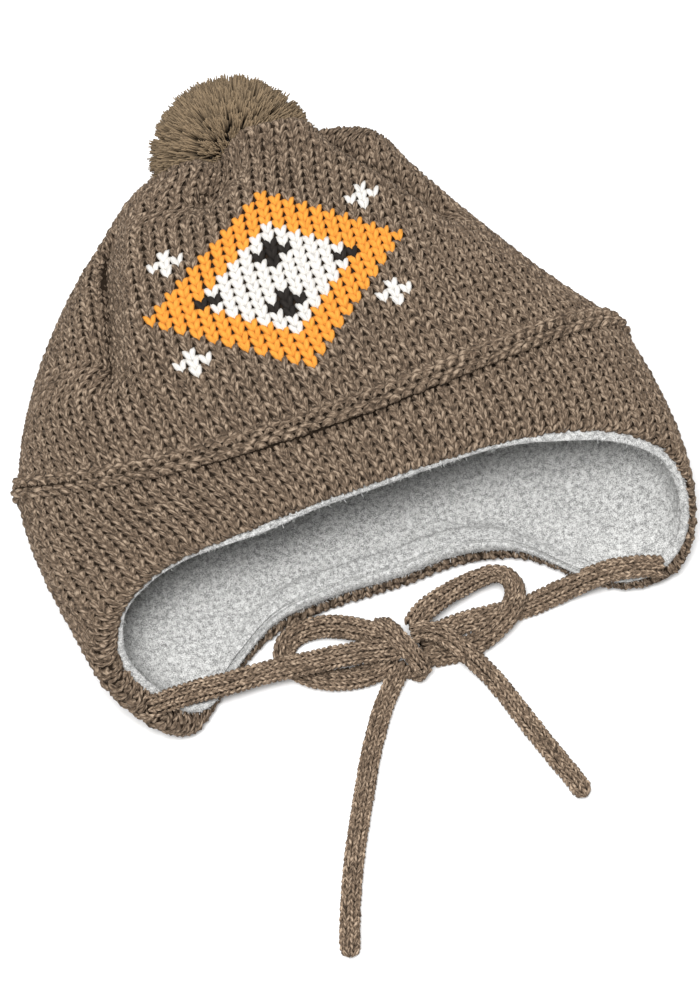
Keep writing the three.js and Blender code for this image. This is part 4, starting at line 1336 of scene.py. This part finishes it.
class HAT_OT_stage(bpy.types.Operator):
    """Sets the pale floor, the soft studio light and the camera at the photo's angle"""
    bl_idname = "hat.stage"
    bl_label = "Studio stage"

    def execute(self, context):
        colours = context.scene.hat_colours
        target = Vector((TO_FRAME[0], TO_FRAME[1], 0.02))
        bpy.ops.object.select_all(action="DESELECT")
        bpy.ops.mesh.primitive_plane_add(size=6, location=(0, 0, 0))
        floor = context.object
        floor.name = "studio_floor"
        paper, _, shader = new_material("Matt white paper backdrop", 0.9, 0.0, (1, 1, 1), 0.1)
        shader.inputs["Base Color"].default_value = (*colours.floor, 1)
        floor.data.materials.append(paper)
        for name, place, size, power in LIGHTS:
            bpy.ops.object.light_add(type="AREA", location=target + Vector(place))
            light = context.object
            light.name = name
            light.data.size = size
            light.data.energy = power
            light.rotation_euler = Vector(place).to_track_quat("Z", "Y").to_euler()
        world = bpy.data.worlds.new("Soft white studio")
        context.scene.world = world
        world.use_nodes = True
        world.node_tree.nodes["Background"].inputs["Color"].default_value = (1, 1, 1, 1)
        seen = add_node(world.node_tree, "ShaderNodeLightPath")
        strength = add_node(world.node_tree, "ShaderNodeMath", {1: 0.78, 2: 0.24},
                            {0: seen.outputs["Is Camera Ray"]}, operation="MULTIPLY_ADD")
        world.node_tree.links.new(
            strength.outputs["Value"], world.node_tree.nodes["Background"].inputs["Strength"])
        level = math.cos(CAMERA_ELEVATION)
        back = Vector((math.sin(CAMERA_AZIMUTH) * level, -math.cos(CAMERA_AZIMUTH) * level,
                       math.sin(CAMERA_ELEVATION)))
        bpy.ops.object.camera_add(location=target + back * CAMERA_DISTANCE)
        camera = context.object
        camera.name = "photo_camera"
        camera.rotation_euler = back.to_track_quat("Z", "Y").to_euler()
        camera.data.lens = CAMERA_LENS
        camera.data.sensor_width = 36
        camera.data.clip_start = 0.05
        context.scene.camera = camera
        context.scene.view_settings.view_transform = "Standard"
        context.scene.view_settings.look = "None"
        return {"FINISHED"}


class HAT_PT_panel(bpy.types.Panel):
    """Lists the hat's pieces, sizes and colours"""
    bl_idname = "HAT_PT_panel"
    bl_label = "Pom-pom Knit Hat"
    bl_space_type = "VIEW_3D"
    bl_region_type = "UI"
    bl_category = "Knit Hat"

    def draw(self, context):
        layout = self.layout
        for operator in OPERATORS:
            layout.operator(operator.bl_idname)
        for group in (context.scene.hat_sizes, context.scene.hat_colours):
            box = layout.box()
            for name in group.bl_rna.properties.keys():
                if name not in ("rna_type", "name"):
                    box.prop(group, name)


OPERATORS = (
    HAT_OT_crown, HAT_OT_ridge, HAT_OT_band, HAT_OT_lining, HAT_OT_pompom,
    HAT_OT_knot, HAT_OT_ties, HAT_OT_stage,
)
CLASSES = (HatSizes, HatColours, *OPERATORS, HAT_PT_panel)


def register():
    for one in CLASSES:
        bpy.utils.register_class(one)
    bpy.types.Scene.hat_sizes = bpy.props.PointerProperty(type=HatSizes)
    bpy.types.Scene.hat_colours = bpy.props.PointerProperty(type=HatColours)


def unregister():
    del bpy.types.Scene.hat_colours
    del bpy.types.Scene.hat_sizes
    for one in reversed(CLASSES):
        bpy.utils.unregister_class(one)


def main():
    register()
    bpy.ops.hat.crown()
    bpy.ops.hat.ridge()
    bpy.ops.hat.band()
    bpy.ops.hat.lining()
    bpy.ops.hat.pompom()
    bpy.ops.hat.knot()
    bpy.ops.hat.ties()
    bpy.ops.hat.stage()


if __name__ == "__main__":
    main()
